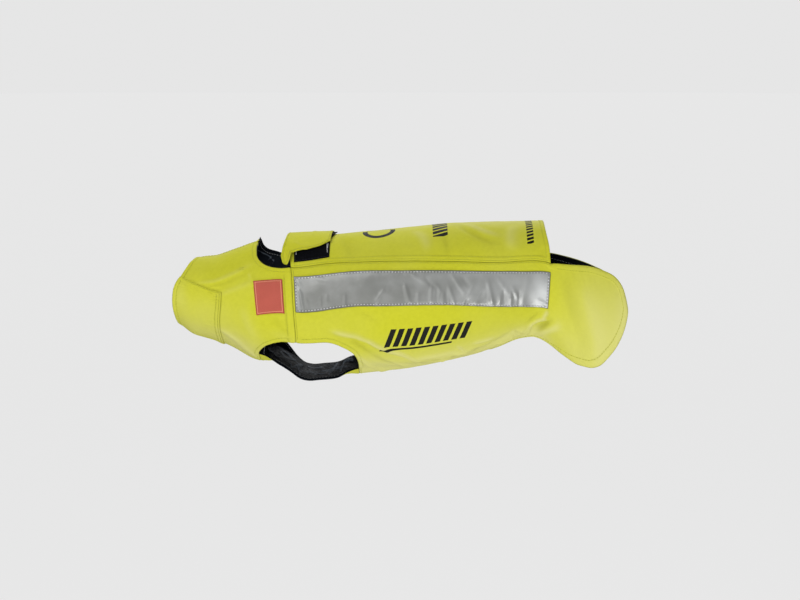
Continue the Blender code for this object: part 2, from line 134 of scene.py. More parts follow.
# Curve through rows whose first column rises: cubic pieces that share the central differences as slopes
def through(rows, at):
    table = np.asarray(rows, float)
    known, values = table[:, 0], table[:, 1:]
    slopes = np.gradient(values, known, axis=0)
    k = np.clip(np.searchsorted(known, at) - 1, 0, len(known) - 2)
    step = (known[k + 1] - known[k])[:, None]
    t = (at - known[k])[:, None] / step
    return ((2 * t**3 - 3 * t**2 + 1) * values[k] + (t**3 - 2 * t**2 + t) * step * slopes[k]
            + (3 * t**2 - 2 * t**3) * values[k + 1] + (t**3 - t**2) * step * slopes[k + 1])


# 0 before start, 1 after end, and 3t² - 2t³ between them
def rise(value, start, end):
    t = np.clip((value - start) / (end - start), 0, 1)
    return t * t * (3 - 2 * t)


# Outer face of the trunk: across each x an ellipse from its top to its bottom, with its half width
def trunkForm(x, turn):
    top, bottom, half = through(worn["sections"], x).T
    angle = np.radians(turn)
    drop, start, end = worn["rightDrop"]
    z = (top + bottom) / 2 + (top - bottom) / 2 * np.cos(angle)
    return np.stack([x, -half * np.sin(angle), z - np.where(turn < 0, drop, 0) * rise(x, start, end)], axis=1)


# Outer face of the chest strap over x and y: a shallow parabola that blends into the ellipse at its ends
def strapForm(x, y):
    s = worn["strap"]
    top, bottom, half = through(worn["sections"], x).T
    roundZ = (top + bottom) / 2 - (top - bottom) / 2 * np.sqrt(1 - (y / half) ** 2)
    innerY = np.clip(y, -s["half"], s["half"])
    flatZ = through(worn["strapEdges"], x)[:, 0] - s["sag"] * (1 - (innerY / s["half"]) ** 2)
    flatZ = flatZ + s["slope"] * np.maximum(y - innerY, 0)
    free = rise(x, s["front"], s["front"] + s["blend"]) * (1 - rise(x, s["rear"] - s["blend"], s["rear"]))
    return np.stack([x, y, free * flatZ + (1 - free) * roundZ], axis=1)


# One fold: exp(-(across / width)²) over a line bent by bend * (along / length)², steeper on one side of it, and
# faded by exp(-(along / length)⁴)
def fold(u, v, heading, length, width, bend):
    c, s = math.cos(math.radians(heading)), math.sin(math.radians(heading))
    along = (u * c + v * s) / length
    across = (v * c - u * s + bend * along**2) / width
    return np.exp(-np.minimum(across**2 * np.where(across > 0, 1.5, 0.8), 60) - np.minimum(along**4, 60))


# Height of all folds on the trunk, the sum of the single ones of that side
def trunkFolds(x, turn, tables=((folds, 1.0), (creases, worn["crease"]))):
    turn = np.where(turn > 180, turn - 360, turn)
    height = np.zeros_like(x)
    for rows, gain in tables:
        for fx, fturn, heading, length, width, bend, left, right in rows:
            side = gain * np.where(turn > 0, left, right)
            down = (np.abs(turn) - fturn) * worn["degree"]
            height += side * fold(x - fx, down, heading, length, width, bend)
    return height


# Height of the strap's folds, none of them at its sewn ends
def strapHeight(x, y):
    height = np.zeros_like(x)
    for fx, fy, heading, length, width, bend, rising in strapFolds:
        height += rising * fold(x - fx, y - fy, heading, length, width, bend)
    s = worn["strap"]
    return height * rise(x, s["front"], s["front"] + 12) * (1 - rise(x, s["rear"] - 12, s["rear"]))


unevenness = ((0.55, 62, 4), (0.16, 24, 5))  # size, wave and seed of the cloth's slow swells


# Soft unevenness: a sum of sines whose waves run in six directions through space
def swell(points, size, wave, seed):
    rng = np.random.default_rng(seed)
    ways = rng.normal(size=(6, 3))
    ways *= (2 * np.pi / (wave * rng.uniform(0.7, 1.5, 6)) / np.linalg.norm(ways, axis=1))[:, None]
    return size * np.sin(points @ ways.T + rng.uniform(0, 6.28, 6)).mean(axis=1) * 1.8


# Points on a form, moved along its normal by lift, folds and unevenness, and with them the normal
def onForm(form, a, b, lift):
    along = form(a + 0.5, b) - form(a - 0.5, b)
    across = form(a, b + 0.5) - form(a, b - 0.5)
    normal = -np.cross(along, across)
    normal /= np.linalg.norm(normal, axis=1)[:, None]
    base = form(a, b)
    height = trunkFolds(a, b) if form is trunkForm else strapHeight(a, b)
    height += sum(swell(base, *values) for values in unevenness)
    return base + normal * (lift + height)[:, None], normal


# Pattern lines as points (x, turn)
lines = {
    "nape": ((-284.5, 0), (-197, 0)),
    "rimAbove": ((-284.5, 0), (-286.5, 8), (-290.5, 19), (-295.5, 35), (-301.5, 50.5)),
    "rimBelow": ((-301.5, 50.5), (-306, 60.5), (-309.5, 72.5), (-311, 86.5), (-311.5, 103.5), (-310.5, 125),
                 (-308.5, 150), (-308.5, 180)),
    "guardTop": ((-301.5, 50.5), (-286, 59.5), (-270.5, 66.5), (-259, 70), (-242, 73.5)),
    "guardRear": ((-242, 73.5), (-243, 87), (-245.5, 109.5), (-244.5, 144.5), (-244.5, 180)),
    "chestCentre": ((-308.5, 180), (-194, 180)),
    "opening": ((-197, 0), (-197, 8), (-196.5, 24.5), (-193.5, 37), (-187, 44), (-176, 49), (-162, 51),
                (-147.5, 49.5)),
    "shoulderTop": ((-147.5, 49.5), (-146, 57.2)),
    "shoulderTape": ((-146, 57.2), (-143.3, 86)),
    "shoulderLow": ((-143.3, 86), (-141, 108.5), (-141, 111.5)),
    "armFront": ((-193.8, 140), (-189.5, 132.5), (-184, 127.5), (-175, 123), (-164, 119), (-141, 111.5)),
    "armRear": ((-141, 111.5), (-119.5, 110), (-95.5, 110.5), (-86, 113), (-77.5, 116.5), (-69, 121),
                (-64, 124.5), (-60, 129.5), (-57, 139)),
    "backFront": ((-147.5, 49.5), (-150, 38), (-150, 0)),
    "backSeam": ((-147.5, 49.5), (-94.5, 46), (-47, 48), (0, 50), (67.5, 56), (135, 62.5), (204.5, 65.5)),
    "backRear": ((204.5, 65.5), (203.5, 50.5), (200, 31.5), (198.5, 10), (198.5, 0)),
    "flankTop": ((204.5, 65.5), (217, 62.5), (230, 59), (258, 51.8), (276.5, 50.5), (295, 52), (303, 56),
                 (308.5, 63.5), (310.5, 69), (308.5, 76), (304, 83.5), (295, 93.5), (284.5, 102.5),
                 (275.5, 110), (265, 116.5), (251.5, 123.5), (240.5, 131), (227, 140), (211.5, 151),
                 (197, 156.5), (180, 158.5), (160, 159.5), (146, 165), (136, 172), (132, 180)),
    "bellyCentre": ((132, 180), (-56.5, 180)),
    "tabRoot": ((-150, -48.5), (-92, -48.5)),
    "tabRear": ((-92, -48.5), (-91, -20), (-93, 5), (-94.5, 22.5)),
    "tabEnd": ((-94.5, 22.5), (-108.5, 28.5), (-124, 32), (-138.5, 34), (-146.5, 36.5)),
    "tabCorner": ((-146.5, 36.5), (-149, 44), (-153, 48), (-158.5, 45.5), (-162, 38)),
    "tabFront": ((-162, 38), (-159, 27.5), (-154.5, -6), (-150, -48.5)),
}
patches = {
    "badge": ((-198, 62.5), (-158.5, 61.5), (-155, 90), (-193.5, 94.5)),
    "loop": ((-144.5, 18), (-95, 9), (-95.5, 40), (-143.5, 44.5)),
    "hook": ((-143, -2), (-90, -16), (-86.5, -5), (-91, 9), (-98, 20), (-141, 29)),
}

# How a cloth's edge is finished: a band of doubled cloth of some width and height, the edge's roll and its
# reach, the rows of stitches and how deep they dip, the puckers, and how dark the painted shade of a stitched
# line is
edgeColumns = ("width", "height", "roll", "reach", "rows", "dip", "pucker", "line")
edgeTable = {
    "hem": (6.4, 0.45, 0.5, 1.5, (5.6,), 0.35, 0.22, 0.38),
    "guardHem": (7.4, 1.0, 0.9, 2.6, (6.8,), 0.2, 0.3, 0.12),
    "seam": (3.2, 0.3, 0.85, 2.4, (2.6,), 0.25, 0.16, 0.6),
    "frontSeam": (11.0, 0.3, 0.85, 2.4, (9.8,), 0.3, 0.2, 1.0),
    "backSeam": (8.2, 0.35, 0.85, 2.2, (2.2, 7.2), 0.3, 0.2, 0.5),
    "fold": (3.4, 0.2, 0.7, 1.6, (2.4,), 0.3, 0.2, 0.8),
    "doubleFold": (7.6, 0.25, 0.7, 1.6, (2.4, 6.6), 0.35, 0.45, 1.0),
    "tapeEdge": (0.1, 0.0, 0.45, 1.0, (2.2,), 0.3, 0.1, 1.0),
    "patchEdge": (0.1, 0.0, 0.4, 0.9, (1.7,), 0.25, 0.06, 0.6),
    "lip": (0.1, 0.0, 0.3, 1.0, (3.4,), 0.3, 0.2, 0.5),
}
edges = {kind: dict(zip(edgeColumns, values)) for kind, values in edgeTable.items()}


# A pattern line as points at an even spacing along the curve through its points, measured on the flat cloth
def drawn(points, spacing):
    rows = np.asarray(points, float)
    lengths = np.hypot(np.diff(rows[:, 0]), np.diff(rows[:, 1]) * worn["degree"])
    at = np.concatenate([[0], np.cumsum(lengths)])
    count = max(3, int(round(at[-1] / spacing)) + 1)
    return through(np.column_stack([at, rows]), np.linspace(0, at[-1], count))


# Distance from points to the nearest of the straight stretches, and how far along the outline that place is
def nearest(points, starts, ends, arc):
    run = ends - starts
    size = (run**2).sum(axis=1)
    far, place = [], []
    for some in np.array_split(points, max(1, len(points) // 3000)):
        offset = some[:, None] - starts
        t = np.clip((offset * run).sum(axis=2) / size, 0, 1)
        gap = np.linalg.norm(offset - t[:, :, None] * run, axis=2)
        k = gap.argmin(axis=1)
        row = np.arange(len(some))
        far.append(gap[row, k])
        place.append(arc[k] + t[row, k] * np.sqrt(size[k]))
    return np.concatenate(far), np.concatenate(place)


# True inside a closed outline: a level ray from the point crosses it an odd number of times
def inside(points, outline):
    x, y = points[:, 0:1], points[:, 1:2]
    x0, y0 = outline.T
    x1, y1 = np.roll(outline, -1, axis=0).T
    spans = (y0 > y) != (y1 > y)
    crossed = x < x0 + (y - y0) / np.where(y1 == y0, 1, y1 - y0) * (x1 - x0)
    return (spans & crossed).sum(axis=1) % 2 == 1


# How far a lining's lip goes out past the wall, how proud of the wall it stands, and where it falls back
lipShape = {"out": 1.9, "proud": 0.35, "fall": (0.9, 1.8)}


# A pattern piece from (points, finish) of each of its lines, in flat millimetres, its edge pulled in by half
# a seam gap and a lip's pushed out
def pattern(parts, spacing, degree=worn["degree"], pull=worn["gap"] / 2):
    outline, finish = [], []
    for points, kind in parts:
        outline.append(points[:-1] * (1, degree))
        finish += [kind] * (len(points) - 1)
    outline = np.concatenate(outline)
    run = np.roll(outline, -1, axis=0) - outline
    x, y = outline.T
    turning = np.sign((x * np.roll(y, -1) - np.roll(x, -1) * y).sum())
    inward = turning * np.column_stack([-run[:, 1], run[:, 0]]) / np.linalg.norm(run, axis=1)[:, None]
    before = np.roll(inward, 1, axis=0)
    corner = (before + inward) / (1 + (before * inward).sum(axis=1))[:, None]
    finish = np.array(finish)
    outline = outline + np.where(finish == "lip", -lipShape["out"], pull)[:, None] * corner
    run = np.roll(outline, -1, axis=0) - outline
    return {"parts": parts, "spacing": spacing, "degree": degree, "outline": outline, "inward": corner,
            "finish": finish, "starts": outline, "ends": outline + run,
            "arc": np.concatenate([[0], np.cumsum(np.linalg.norm(run, axis=1))[:-1]])}


# Distance from flat points to a piece's edge, or to its edges of one kind, and how far along it that is
def toEdge(piece, flat, kind=None):
    mine = slice(None) if kind is None else piece["finish"] == kind
    return nearest(flat, piece["starts"][mine], piece["ends"][mine], piece["arc"][mine])


# Waves of uneven size along an outline: three sines of unlike length, swelled and thinned by a slower one
def ripple(s, wave, seed):
    phase = np.random.default_rng(seed).uniform(0, 6.28, 4)
    k = 2 * np.pi / wave
    sines = ((1.0, 1.0), (0.7, 1.61), (0.5, 0.57))  # size and how many times as quick
    fast = sum(size * np.sin(quick * k * s + shift) for (size, quick), shift in zip(sines, phase))
    return fast / 2.2 * (0.6 + 0.4 * np.sin(0.13 * k * s + phase[3]))


# Where a band ends, how round its roll is, how wide a row of stitches dips and how wide its painted
# shade is, and its puckers
edgeShape = {"ends": (1.2, 0.8), "round": 1.6, "dip": 0.85, "dark": 0.7, "wave": 11, "reach": 4, "seed": 7}


# Height that the finish of the edges gives at flat points: each kind's band, roll, stitch dips and puckers
def edgeLift(piece, flat):
    lift = np.zeros(len(flat))
    for number, kind in enumerate(dict.fromkeys(piece["finish"])):
        e = edges[kind]
        d, s = toEdge(piece, flat, kind)
        lift += e["height"] * (1 - rise(d, e["width"] - edgeShape["ends"][0], e["width"] + edgeShape["ends"][1]))
        lift -= e["roll"] * (1 - rise(d, 0, e["reach"])) ** edgeShape["round"]
        for row in e["rows"]:
            lift -= e["dip"] * np.exp(-((d - row) / edgeShape["dip"]) ** 2)
        if e["rows"]:
            last = e["rows"][-1]
            near = np.exp(-((d - last) / (last + edgeShape["reach"])) ** 2) * rise(d, 0, 2)
            lift += e["pucker"] * ripple(s, edgeShape["wave"], edgeShape["seed"] + number) * near
    return lift


# How dark the painted shade of a stitched line is at flat points, 1 in the row itself
def paintedShade(piece, flat):
    deep = np.zeros(len(flat))
    for kind in dict.fromkeys(piece["finish"]):
        d = toEdge(piece, flat, kind)[0]
        for row in edges[kind]["rows"]:
            deep = np.maximum(deep, edges[kind]["line"] * np.exp(-((d - row) / edgeShape["dark"]) ** 2))
    return deep


# Cuts a pattern piece: rows of points that follow its edge and an even staggered grid, joined into triangles
def cutCloth(piece, rows=(0.5, 1.2, 2.0, 2.8, 3.7, 4.7, 5.7, 6.7, 7.7, 8.9, 10.2)):
    outline, spacing = piece["outline"], piece["spacing"]
    kept = [outline]
    for row in rows:
        ring = outline + row * piece["inward"]
        kept.append(ring[inside(ring, outline) & (toEdge(piece, ring)[0] > 0.97 * row)])
    (lowX, lowY), (highX, highY) = outline.min(axis=0), outline.max(axis=0)
    gridX, gridY = np.meshgrid(np.arange(lowX, highX, spacing), np.arange(lowY, highY, spacing * 0.866))
    gridX[1::2] += spacing / 2
    grid = np.column_stack([gridX.ravel(), gridY.ravel()])
    grid = grid[inside(grid, outline)]
    kept.append(grid[toEdge(piece, grid)[0] > rows[-1] + 0.6 * spacing])
    points = np.concatenate(kept)
    count = len(outline)
    loop = [(k, (k + 1) % count) for k in range(count)]
    made = delaunay_2d_cdt([tuple(p) for p in points], loop, [list(range(count))], 1, 1e-5)
    return np.array(made[0]), np.array(made[2])


# Painted highlights, where the cloth is painted paler for its sheen and the tape for its reflection:
# x, turn, reach along, reach across, amount; the same on both sides
paintedHighlights = {
    # painted sheen on the cloth: paler at the lower parts, the guard and the back's top edge
    "cloth": (
        (286, 94, 50, 70, 0.72), (311, 82, 16, 66, 0.55), (236, 122, 36, 26, 0.35),
        (60, 158, 140, 40, 1.1), (-44, 148, 40, 28, 0.7), (170, 148, 40, 22, 0.7),
        (-285, 138, 30, 44, 0.5), (-222, 140, 40, 32, 0.85), (-300, 84, 10, 40, 0.25),
        (-262, 100, 40, 30, 0.16), (-150, 112, 24, 8, 0.2), (40, 4, 120, 10, 0.45),
        (150, 6, 70, 22, 0.5), (-260, 4, 40, 12, 0.3),
    ),
    # painted reflection on the tape
    "tape": (
        (196, 92, 20, 30, 0.55), (150, 84, 40, 26, 0.2), (-139, 76, 7, 26, 0.4), (90, 68, 120, 8, 0.25),
        (-60, 58, 70, 6, 0.2), (100, 84, 80, 18, 0.22),
    ),
    "none": (),
}


# The sum of the painted highlights, each fading as exp(-(along / reach)² - (across / reach)²), at most 1
def paleness(kind, x, turn):
    amount = 0 * x
    for fx, fturn, along, across, size in paintedHighlights[kind]:
        down = (np.abs(turn) - fturn) * worn["degree"]
        amount = amount + size * np.exp(-((x - fx) / along) ** 2 - (down / across) ** 2)
    return np.clip(amount, 0, 1)


# A mesh from whole arrays of points, triangles and quads, with the flat cut as its UV map and some values by
# point: the distance from the edge, how dark the painted shade of stitched lines and crease troughs is, and how
# strong the painted highlight is
def newMesh(name, points, triangles, quads, flat, edge, paintedShade=None, pale=None):
    mesh = bpy.data.meshes.new(name)
    corners = np.concatenate([triangles.ravel(), quads.ravel()]).astype(np.int32)
    starts = np.concatenate([np.arange(len(triangles)) * 3, len(triangles) * 3 + np.arange(len(quads)) * 4])
    mesh.vertices.add(len(points))
    mesh.vertices.foreach_set("co", (points * 0.001).astype(np.float32).ravel())
    mesh.loops.add(len(corners))
    mesh.loops.foreach_set("vertex_index", corners)
    mesh.polygons.add(len(starts))
    mesh.polygons.foreach_set("loop_start", starts.astype(np.int32))
    mesh.update(calc_edges=True)
    layer = mesh.uv_layers.new(name="cut")
    layer.data.foreach_set("uv", (flat[corners] * 0.01).astype(np.float32).ravel())
    for key, values in (("edge", edge), ("paintedShade", paintedShade), ("pale", pale)):
        if values is not None:
            mesh.attributes.new(key, "FLOAT", "POINT").data.foreach_set("value", values.astype(np.float32))
    mesh.shade_smooth()
    return mesh


# Puts a finished mesh into the scene as a piece that stands for some nodes
def addPiece(name, mesh, finish, nodes=()):
    mesh.materials.append(finish)
    piece = bpy.data.objects.new(name, mesh)
    bpy.context.scene.collection.objects.link(piece)
    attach(piece, "root")
    if nodes:
        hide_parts(*nodes)
    return piece


creaseLightAndShade = {"pale": (0.8, 1.4), "dark": (0.6, 1.2)}  # gain of a crease's height for its painted highlight and painted shade, and the most it counts


# A closed cloth: an outer and an inner sheet of the same cut, each on its own lift, joined round their edge
def sewCloth(name, piece, form, outer, inner, right=False, paintedLight="cloth"):
    flat, triangles = piece["cut"] if "cut" in piece else piece.setdefault("cut", cutCloth(piece))
    a, b = flat[:, 0], flat[:, 1] / piece["degree"]
    b = -b if right else b
    triangles = triangles if right else triangles[:, ::-1]
    edge = toEdge(piece, flat)[0]
    top = onForm(form, a, b, outer(flat, a, b))[0]
    under = onForm(form, a, b, inner(flat, a, b))[0]
    count = len(flat)
    sides = np.concatenate([triangles[:, [0, 1]], triangles[:, [1, 2]], triangles[:, [2, 0]]])
    free = ~np.isin(sides[:, 0] * count + sides[:, 1], sides[:, 1] * count + sides[:, 0])
    rim = sides[free]
    quads = np.column_stack([rim[:, 1], rim[:, 0], rim[:, 0] + count, rim[:, 1] + count])
    both = np.concatenate([triangles, triangles[:, ::-1] + count])
    deep = paintedShade(piece, flat)
    if callable(paintedLight):
        pale = paintedLight(flat, a, b)
    elif form is trunkForm:
        pale = paleness(paintedLight, a, np.where(b > 180, 360 - b, b))
        if paintedLight == "cloth":  # painted highlight on the creases' ridges and painted shade in their troughs
            crease = trunkFolds(a, b, ((creases, 1.0),))
            gain, most = creaseLightAndShade["pale"]
            pale = np.clip(pale + gain * np.clip(crease, 0, most), 0, 1)
            gain, most = creaseLightAndShade["dark"]
            deep = np.maximum(deep, gain * np.clip(-crease, 0, most))
    else:
        pale = 0 * edge
    kept = (np.concatenate([value, value]) for value in (flat, edge, deep, pale))
    return newMesh(name, np.concatenate([top, under]), both, quads, *kept)


# Stitches of the yellow seams, and how far they lie over a panel, as a tack and over what is sewn on
thread = {"length": 3.3, "pitch": 4.2, "radius": 0.34}
proud = {"panel": 0.12, "tack": 0.15, "sewnOn": 0.1}


# Rows of stitches: one small bead with tapered ends, repeated along each path at a pitch, all rows at once
def stitchMesh(name, rows, length=thread["length"], pitch=thread["pitch"], radius=thread["radius"]):
    centres, ahead, up = [], [], []
    for path, normal in rows:
        lengths = np.linalg.norm(np.diff(path, axis=0), axis=1)
        at = np.concatenate([[0], np.cumsum(lengths)])
        places = np.arange(pitch / 2, at[-1] - pitch / 4, pitch)
        pick = lambda values, where: np.column_stack([np.interp(where, at, column) for column in values.T])
        centres.append(pick(path, places))
        ahead.append(pick(path, places + pitch / 4) - pick(path, places - pitch / 4))
        up.append(pick(normal, places))
    centres, ahead, up = (np.concatenate(values) for values in (centres, ahead, up))
    ahead /= np.linalg.norm(ahead, axis=1)[:, None]
    side = np.cross(up, ahead)
    side /= np.linalg.norm(side, axis=1)[:, None]
    up = np.cross(ahead, side)
    angle = np.radians([45, 135, 225, 315])
    stations = ((-0.5, 0.35, -0.55), (-0.36, 0.9, 0), (0, 1, 0.25), (0.36, 0.9, 0), (0.5, 0.35, -0.55))
    bead = np.array([(u * length, g * radius * math.cos(q) * 1.1, radius * (g * math.sin(q) + w))
                     for u, g, w in stations for q in angle])
    ways = enumerate((ahead, side, up))
    points = centres[:, None] + sum(bead[None, :, k:k + 1] * way[:, None] for k, way in ways)
    ring = np.array([(r * 4 + k, r * 4 + (k + 1) % 4, r * 4 + 4 + (k + 1) % 4, r * 4 + 4 + k)
                     for r in range(4) for k in range(4)] + [(3, 2, 1, 0), (16, 17, 18, 19)])[:, ::-1]
    quads = (ring[None] + (np.arange(len(centres)) * 20)[:, None, None]).reshape(-1, 4)
    flat = np.tile(bead[:, :2], (len(centres), 1))
    return newMesh(name, points.reshape(-1, 3), np.zeros((0, 3), int), quads, flat, np.zeros(len(flat)))


# Puts rows of stitches into the scene as a piece of their own
def addStitches(name, rows, colour, slot, **bead):
    return addPiece(name, stitchMesh(name, rows, **bead), finishes[colour])


# The paths of stitches that follow some kinds of edge of a piece, at the rows that their finish gives
def edgeRows(piece, kinds, form, lift, right=False):
    found = []
    for kind in kinds:
        for row in edges[kind]["rows"]:
            ring = piece["outline"] + row * piece["inward"]
            good = (piece["finish"] == kind) & (toEdge(piece, ring)[0] > 0.96 * row)
            good[-1:] = good[-1:] & good[0]
            count = len(ring)
            first = 0 if good.all() else (int(np.argmin(good)) + 1)
            order = np.roll(np.arange(count), -first)
            if good.all():
                order = np.append(order, 0)
            cuts = np.flatnonzero(np.diff(good[order].astype(int)) != 0) + 1
            for run in np.split(order, cuts):
                if good[run[0]] and len(run) > 3:
                    found.append(ring[run])
    return [flatRow(piece, flat, form, lift, right) for flat in found]


# A flat path carried onto the cloth
def flatRow(piece, flat, form, lift, right=False):
    a, b = flat[:, 0], flat[:, 1] / piece["degree"]
    b = -b if right else b
    return onForm(form, a, b, lift(flat, a, b))


# Shader maths. A Value wraps a socket, and an expression on Values adds the Math nodes it needs
class Value:
    def __init__(self, finish, socket):
        self.finish, self.socket = finish, socket

    def __add__(self, other):
        return self.finish.maths("ADD", self, other)

    def __radd__(self, other):
        return self.finish.maths("ADD", other, self)

    def __sub__(self, other):
        return self.finish.maths("SUBTRACT", self, other)

    def __rsub__(self, other):
        return self.finish.maths("SUBTRACT", other, self)

    def __mul__(self, other):
        return self.finish.maths("MULTIPLY", self, other)

    def __rmul__(self, other):
        return self.finish.maths("MULTIPLY", other, self)


# A material or a world being made: add() puts in any node, its settings first and then its values or links
class Finish:
    def __init__(self, owner, shader="Principled BSDF", **constants):
        self.owner = bpy.data.materials.new(owner) if isinstance(owner, str) else owner
        self.owner.use_nodes = True
        self.tree = self.owner.node_tree
        self.shader = self.tree.nodes[shader]
        for socket, value in constants.items():
            self.shader.inputs[socket.replace("_", " ")].default_value = value

    def add(self, kind, settings=None, sockets=None, out=0):
        node = self.tree.nodes.new(kind)
        for key, value in (settings or {}).items():
            setattr(node, key, value)
        for key, value in (sockets or {}).items():
            if isinstance(value, Value):
                self.tree.links.new(value.socket, node.inputs[key])
            else:
                node.inputs[key].default_value = value
        return Value(self, node.outputs[out])

    def maths(self, operation, *values):
        return self.add("ShaderNodeMath", {"operation": operation}, dict(enumerate(values)))

    def mix(self, factor, first, second):  # colours, by a factor
        first, second = ((*c, 1) if isinstance(c, tuple) else c for c in (first, second))
        return self.add("ShaderNodeMix", {"data_type": "RGBA"}, {0: factor, 6: first, 7: second}, out=2)

    def step(self, value, start, end):  # 0 before start, 1 after end, smooth between
        return self.add("ShaderNodeMapRange", {"interpolation_type": "SMOOTHSTEP"},
                        {0: value, 1: start, 2: end, 3: 0.0, 4: 1.0})

    def noise(self, where, scale, detail=2.0):
        return self.add("ShaderNodeTexNoise", {}, {"Vector": where, "Scale": scale, "Detail": detail})

    def place(self):
        return self.add("ShaderNodeTexCoord", out=3)

    def cut(self):  # the flat cut's two coordinates, in decimetres
        uv = self.add("ShaderNodeUVMap", {"uv_map": "cut"})
        return [self.add("ShaderNodeSeparateXYZ", {}, {0: uv}, out=k) for k in (0, 1)]

    def value(self, name):  # one that the mesh keeps by point
        return self.add("ShaderNodeAttribute", {"attribute_name": name}, out=2)

    def wear(self, **fields):
        for socket, value in fields.items():
            self.tree.links.new(value.socket, self.shader.inputs[socket.replace("_", " ")])
        return self.owner

    def bump(self, height, strength, distance, under=None):
        sockets = {"Strength": strength, "Distance": distance, "Height": height}
        if under is not None:
            sockets["Normal"] = under
        return self.add("ShaderNodeBump", {}, sockets)


# Plain weave at a pitch in mm: along each thread a sine's size, and which of the two lies on top changes from
# one crossing to the next
def weave(f, u, v, pitch):
    k = math.pi * 100 / pitch
    warp, weft = f.maths("SINE", u * k), f.maths("SINE", v * k)
    over = f.step(warp * weft, -0.25, 0.25)
    a, b = f.maths("ABSOLUTE", warp), f.maths("ABSOLUTE", weft)
    return over * a + (1 - over) * b


# pale: colour of the slow drifts of tone and of the painted sheen; rim: painted shade at cut edge and stitched
# lines
yellowCloth = {"colour": (0.60, 0.60, 0.026), "deep": (0.50, 0.505, 0.016), "pale": (0.63, 0.615, 0.20),
               "rim": (0.27, 0.27, 0.012), "ink": (0.0035, 0.004, 0.0035), "pitch": 0.95}


# Woven yellow cloth: threads darker in their gaps, slow drifts of tone, painted shade along stitched lines,
# crease troughs and the cut edge, painted sheen at the listed places and on crease ridges, and ink where a
# print is asked for
def clothFinish(name, ink=None):
    s = yellowCloth
    f = Finish(name, Roughness=0.78, Sheen_Weight=0.04, Sheen_Roughness=0.4, Specular_IOR_Level=0.15)
    u, v = f.cut()
    height = weave(f, u, v, s["pitch"])
    where = f.place()
    drift = f.step(f.noise(where, 9.0, 3.0), 0.3, 0.7)
    mottle = f.noise(where, 190.0, 3.0)
    slub = f.noise(f.add("ShaderNodeMapping", {}, {0: where, 3: (260.0, 900.0, 900.0)}), 1.0, 1.0)
    grain = f.step(height, 0.1, 0.9) * 0.45 + slub * 0.25 + f.step(mottle, 0.25, 0.75) * 0.3
    tone = f.mix(grain, s["deep"], s["colour"])
    tone = f.mix(drift * 0.12, tone, s["pale"])
    # painted sheen where the mesh's pale value is high
    tone = f.mix(f.value("pale") * 0.9, tone, s["pale"])
    # painted shade along the stitched lines and crease troughs, and at the cut edge
    line = f.value("paintedShade") * 0.42
    rim = (1 - f.step(f.value("edge"), 0.1, 1.0)) * 0.5
    tone = f.mix(f.maths("MAXIMUM", line, rim), tone, s["rim"])
    rough = 0.70 + 0.14 * f.noise(where, 60.0, 2.0)
    if ink is not None:
        mask = ink(f, u * 100, v * 100)
        tone = f.mix(mask * (0.99 + 0.01 * height), tone, s["ink"])
        rough = rough - mask * 0.15
    fine = f.bump(height, 0.30, 0.00035)
    return f.wear(Base_Color=tone, Roughness=rough, Normal=f.bump(mottle, 0.09, 0.0007, fine))


# 1 inside a band between two values, with edges 0.3 wide
def within(f, value, low, high, soft=0.3):
    return f.step(value, low - soft, low) * (1 - f.step(value, high, high + soft))


# Generic print of the flank: leaning bars of one height over a thin line, in mm of the flat cut
flankPrint = {"left": -22.0, "right": 92.0, "top": 162.0, "bottom": 187.0, "tilt": 0.075, "lean": 0.38,
              "pitch": 11.4, "bar": 7.6, "line": (190.0, 192.8)}


def flankInk(f, x, y):
    s = flankPrint
    y = y - (x - s["left"]) * s["tilt"]
    lean = x + (y - s["bottom"]) * s["lean"]
    bars = within(f, f.maths("MODULO", lean + 1000 * s["pitch"] - s["left"], s["pitch"]), 0.4, s["bar"])
    box = within(f, lean, s["left"], s["right"]) * within(f, y, s["top"], s["bottom"])
    line = within(f, lean, s["left"] - 4, s["right"] - 20) * within(f, y, *s["line"])
    return f.maths("MAXIMUM", bars * box, line)


# Generic print of the back: a ring, a short row of bars across and a line of ticks by the rear hem
backPrint = {
    "ring": (-29.0, 9.0, 16.0, 22.5),  # centre, inner and outer radius
    "bars": (45.0, 65.0, 44.0, 9.6, 6.8),  # from x, to x, reach to each side, pitch, bar
    "ticks": (173.0, 182.0, 72.0, 7.6, 4.9),
}


def backInk(f, x, y):
    rx, ry, small, large = backPrint["ring"]
    far = f.maths("SQRT", (x - rx) * (x - rx) + (y - ry) * (y - ry))
    mark = within(f, far, small, large) * (1 - within(f, f.maths("ABSOLUTE", y), -1, 3.2))
    for low, high, reach, pitch, bar in (backPrint["bars"], backPrint["ticks"]):
        rows = within(f, f.maths("MODULO", y + 1000 * pitch + x * 0.35, pitch), 0.2, bar)
        mark = f.maths("MAXIMUM", mark, rows * within(f, x, low, high) * within(f, y, -reach, reach))
    return mark


# Black coated lining: fine weave under a soft satin, bluish, with a few rubbed places and painted highlights on
# its crease ridges and streaks
def liningFinish():
    f = Finish("black satin lining", Specular_IOR_Level=0.09, Specular_Tint=(0.7, 0.85, 1.0, 1))
    u, v = f.cut()
    height = weave(f, u, v, 0.55)
    where = f.place()
    rub = f.step(f.noise(where, 24.0, 4.0), 0.48, 0.75)
    tone = f.mix(rub * 0.6 + height * 0.2, (0.0016, 0.0022, 0.0038), (0.0045, 0.0062, 0.0105))
    # painted highlight: bluish grey on the crumpled ridges and streaks
    tone = f.mix(f.step(f.value("pale"), 0.35, 1.0) * 0.8, tone, (0.15, 0.18, 0.22))
    fine = f.bump(height, 0.2, 0.0002)
    return f.wear(Base_Color=tone, Roughness=0.46 + 0.16 * f.noise(where, 40.0, 3.0) + 0.04 * height,
                  Normal=f.bump(f.noise(where, 90.0, 3.0), 0.16, 0.0008, fine))
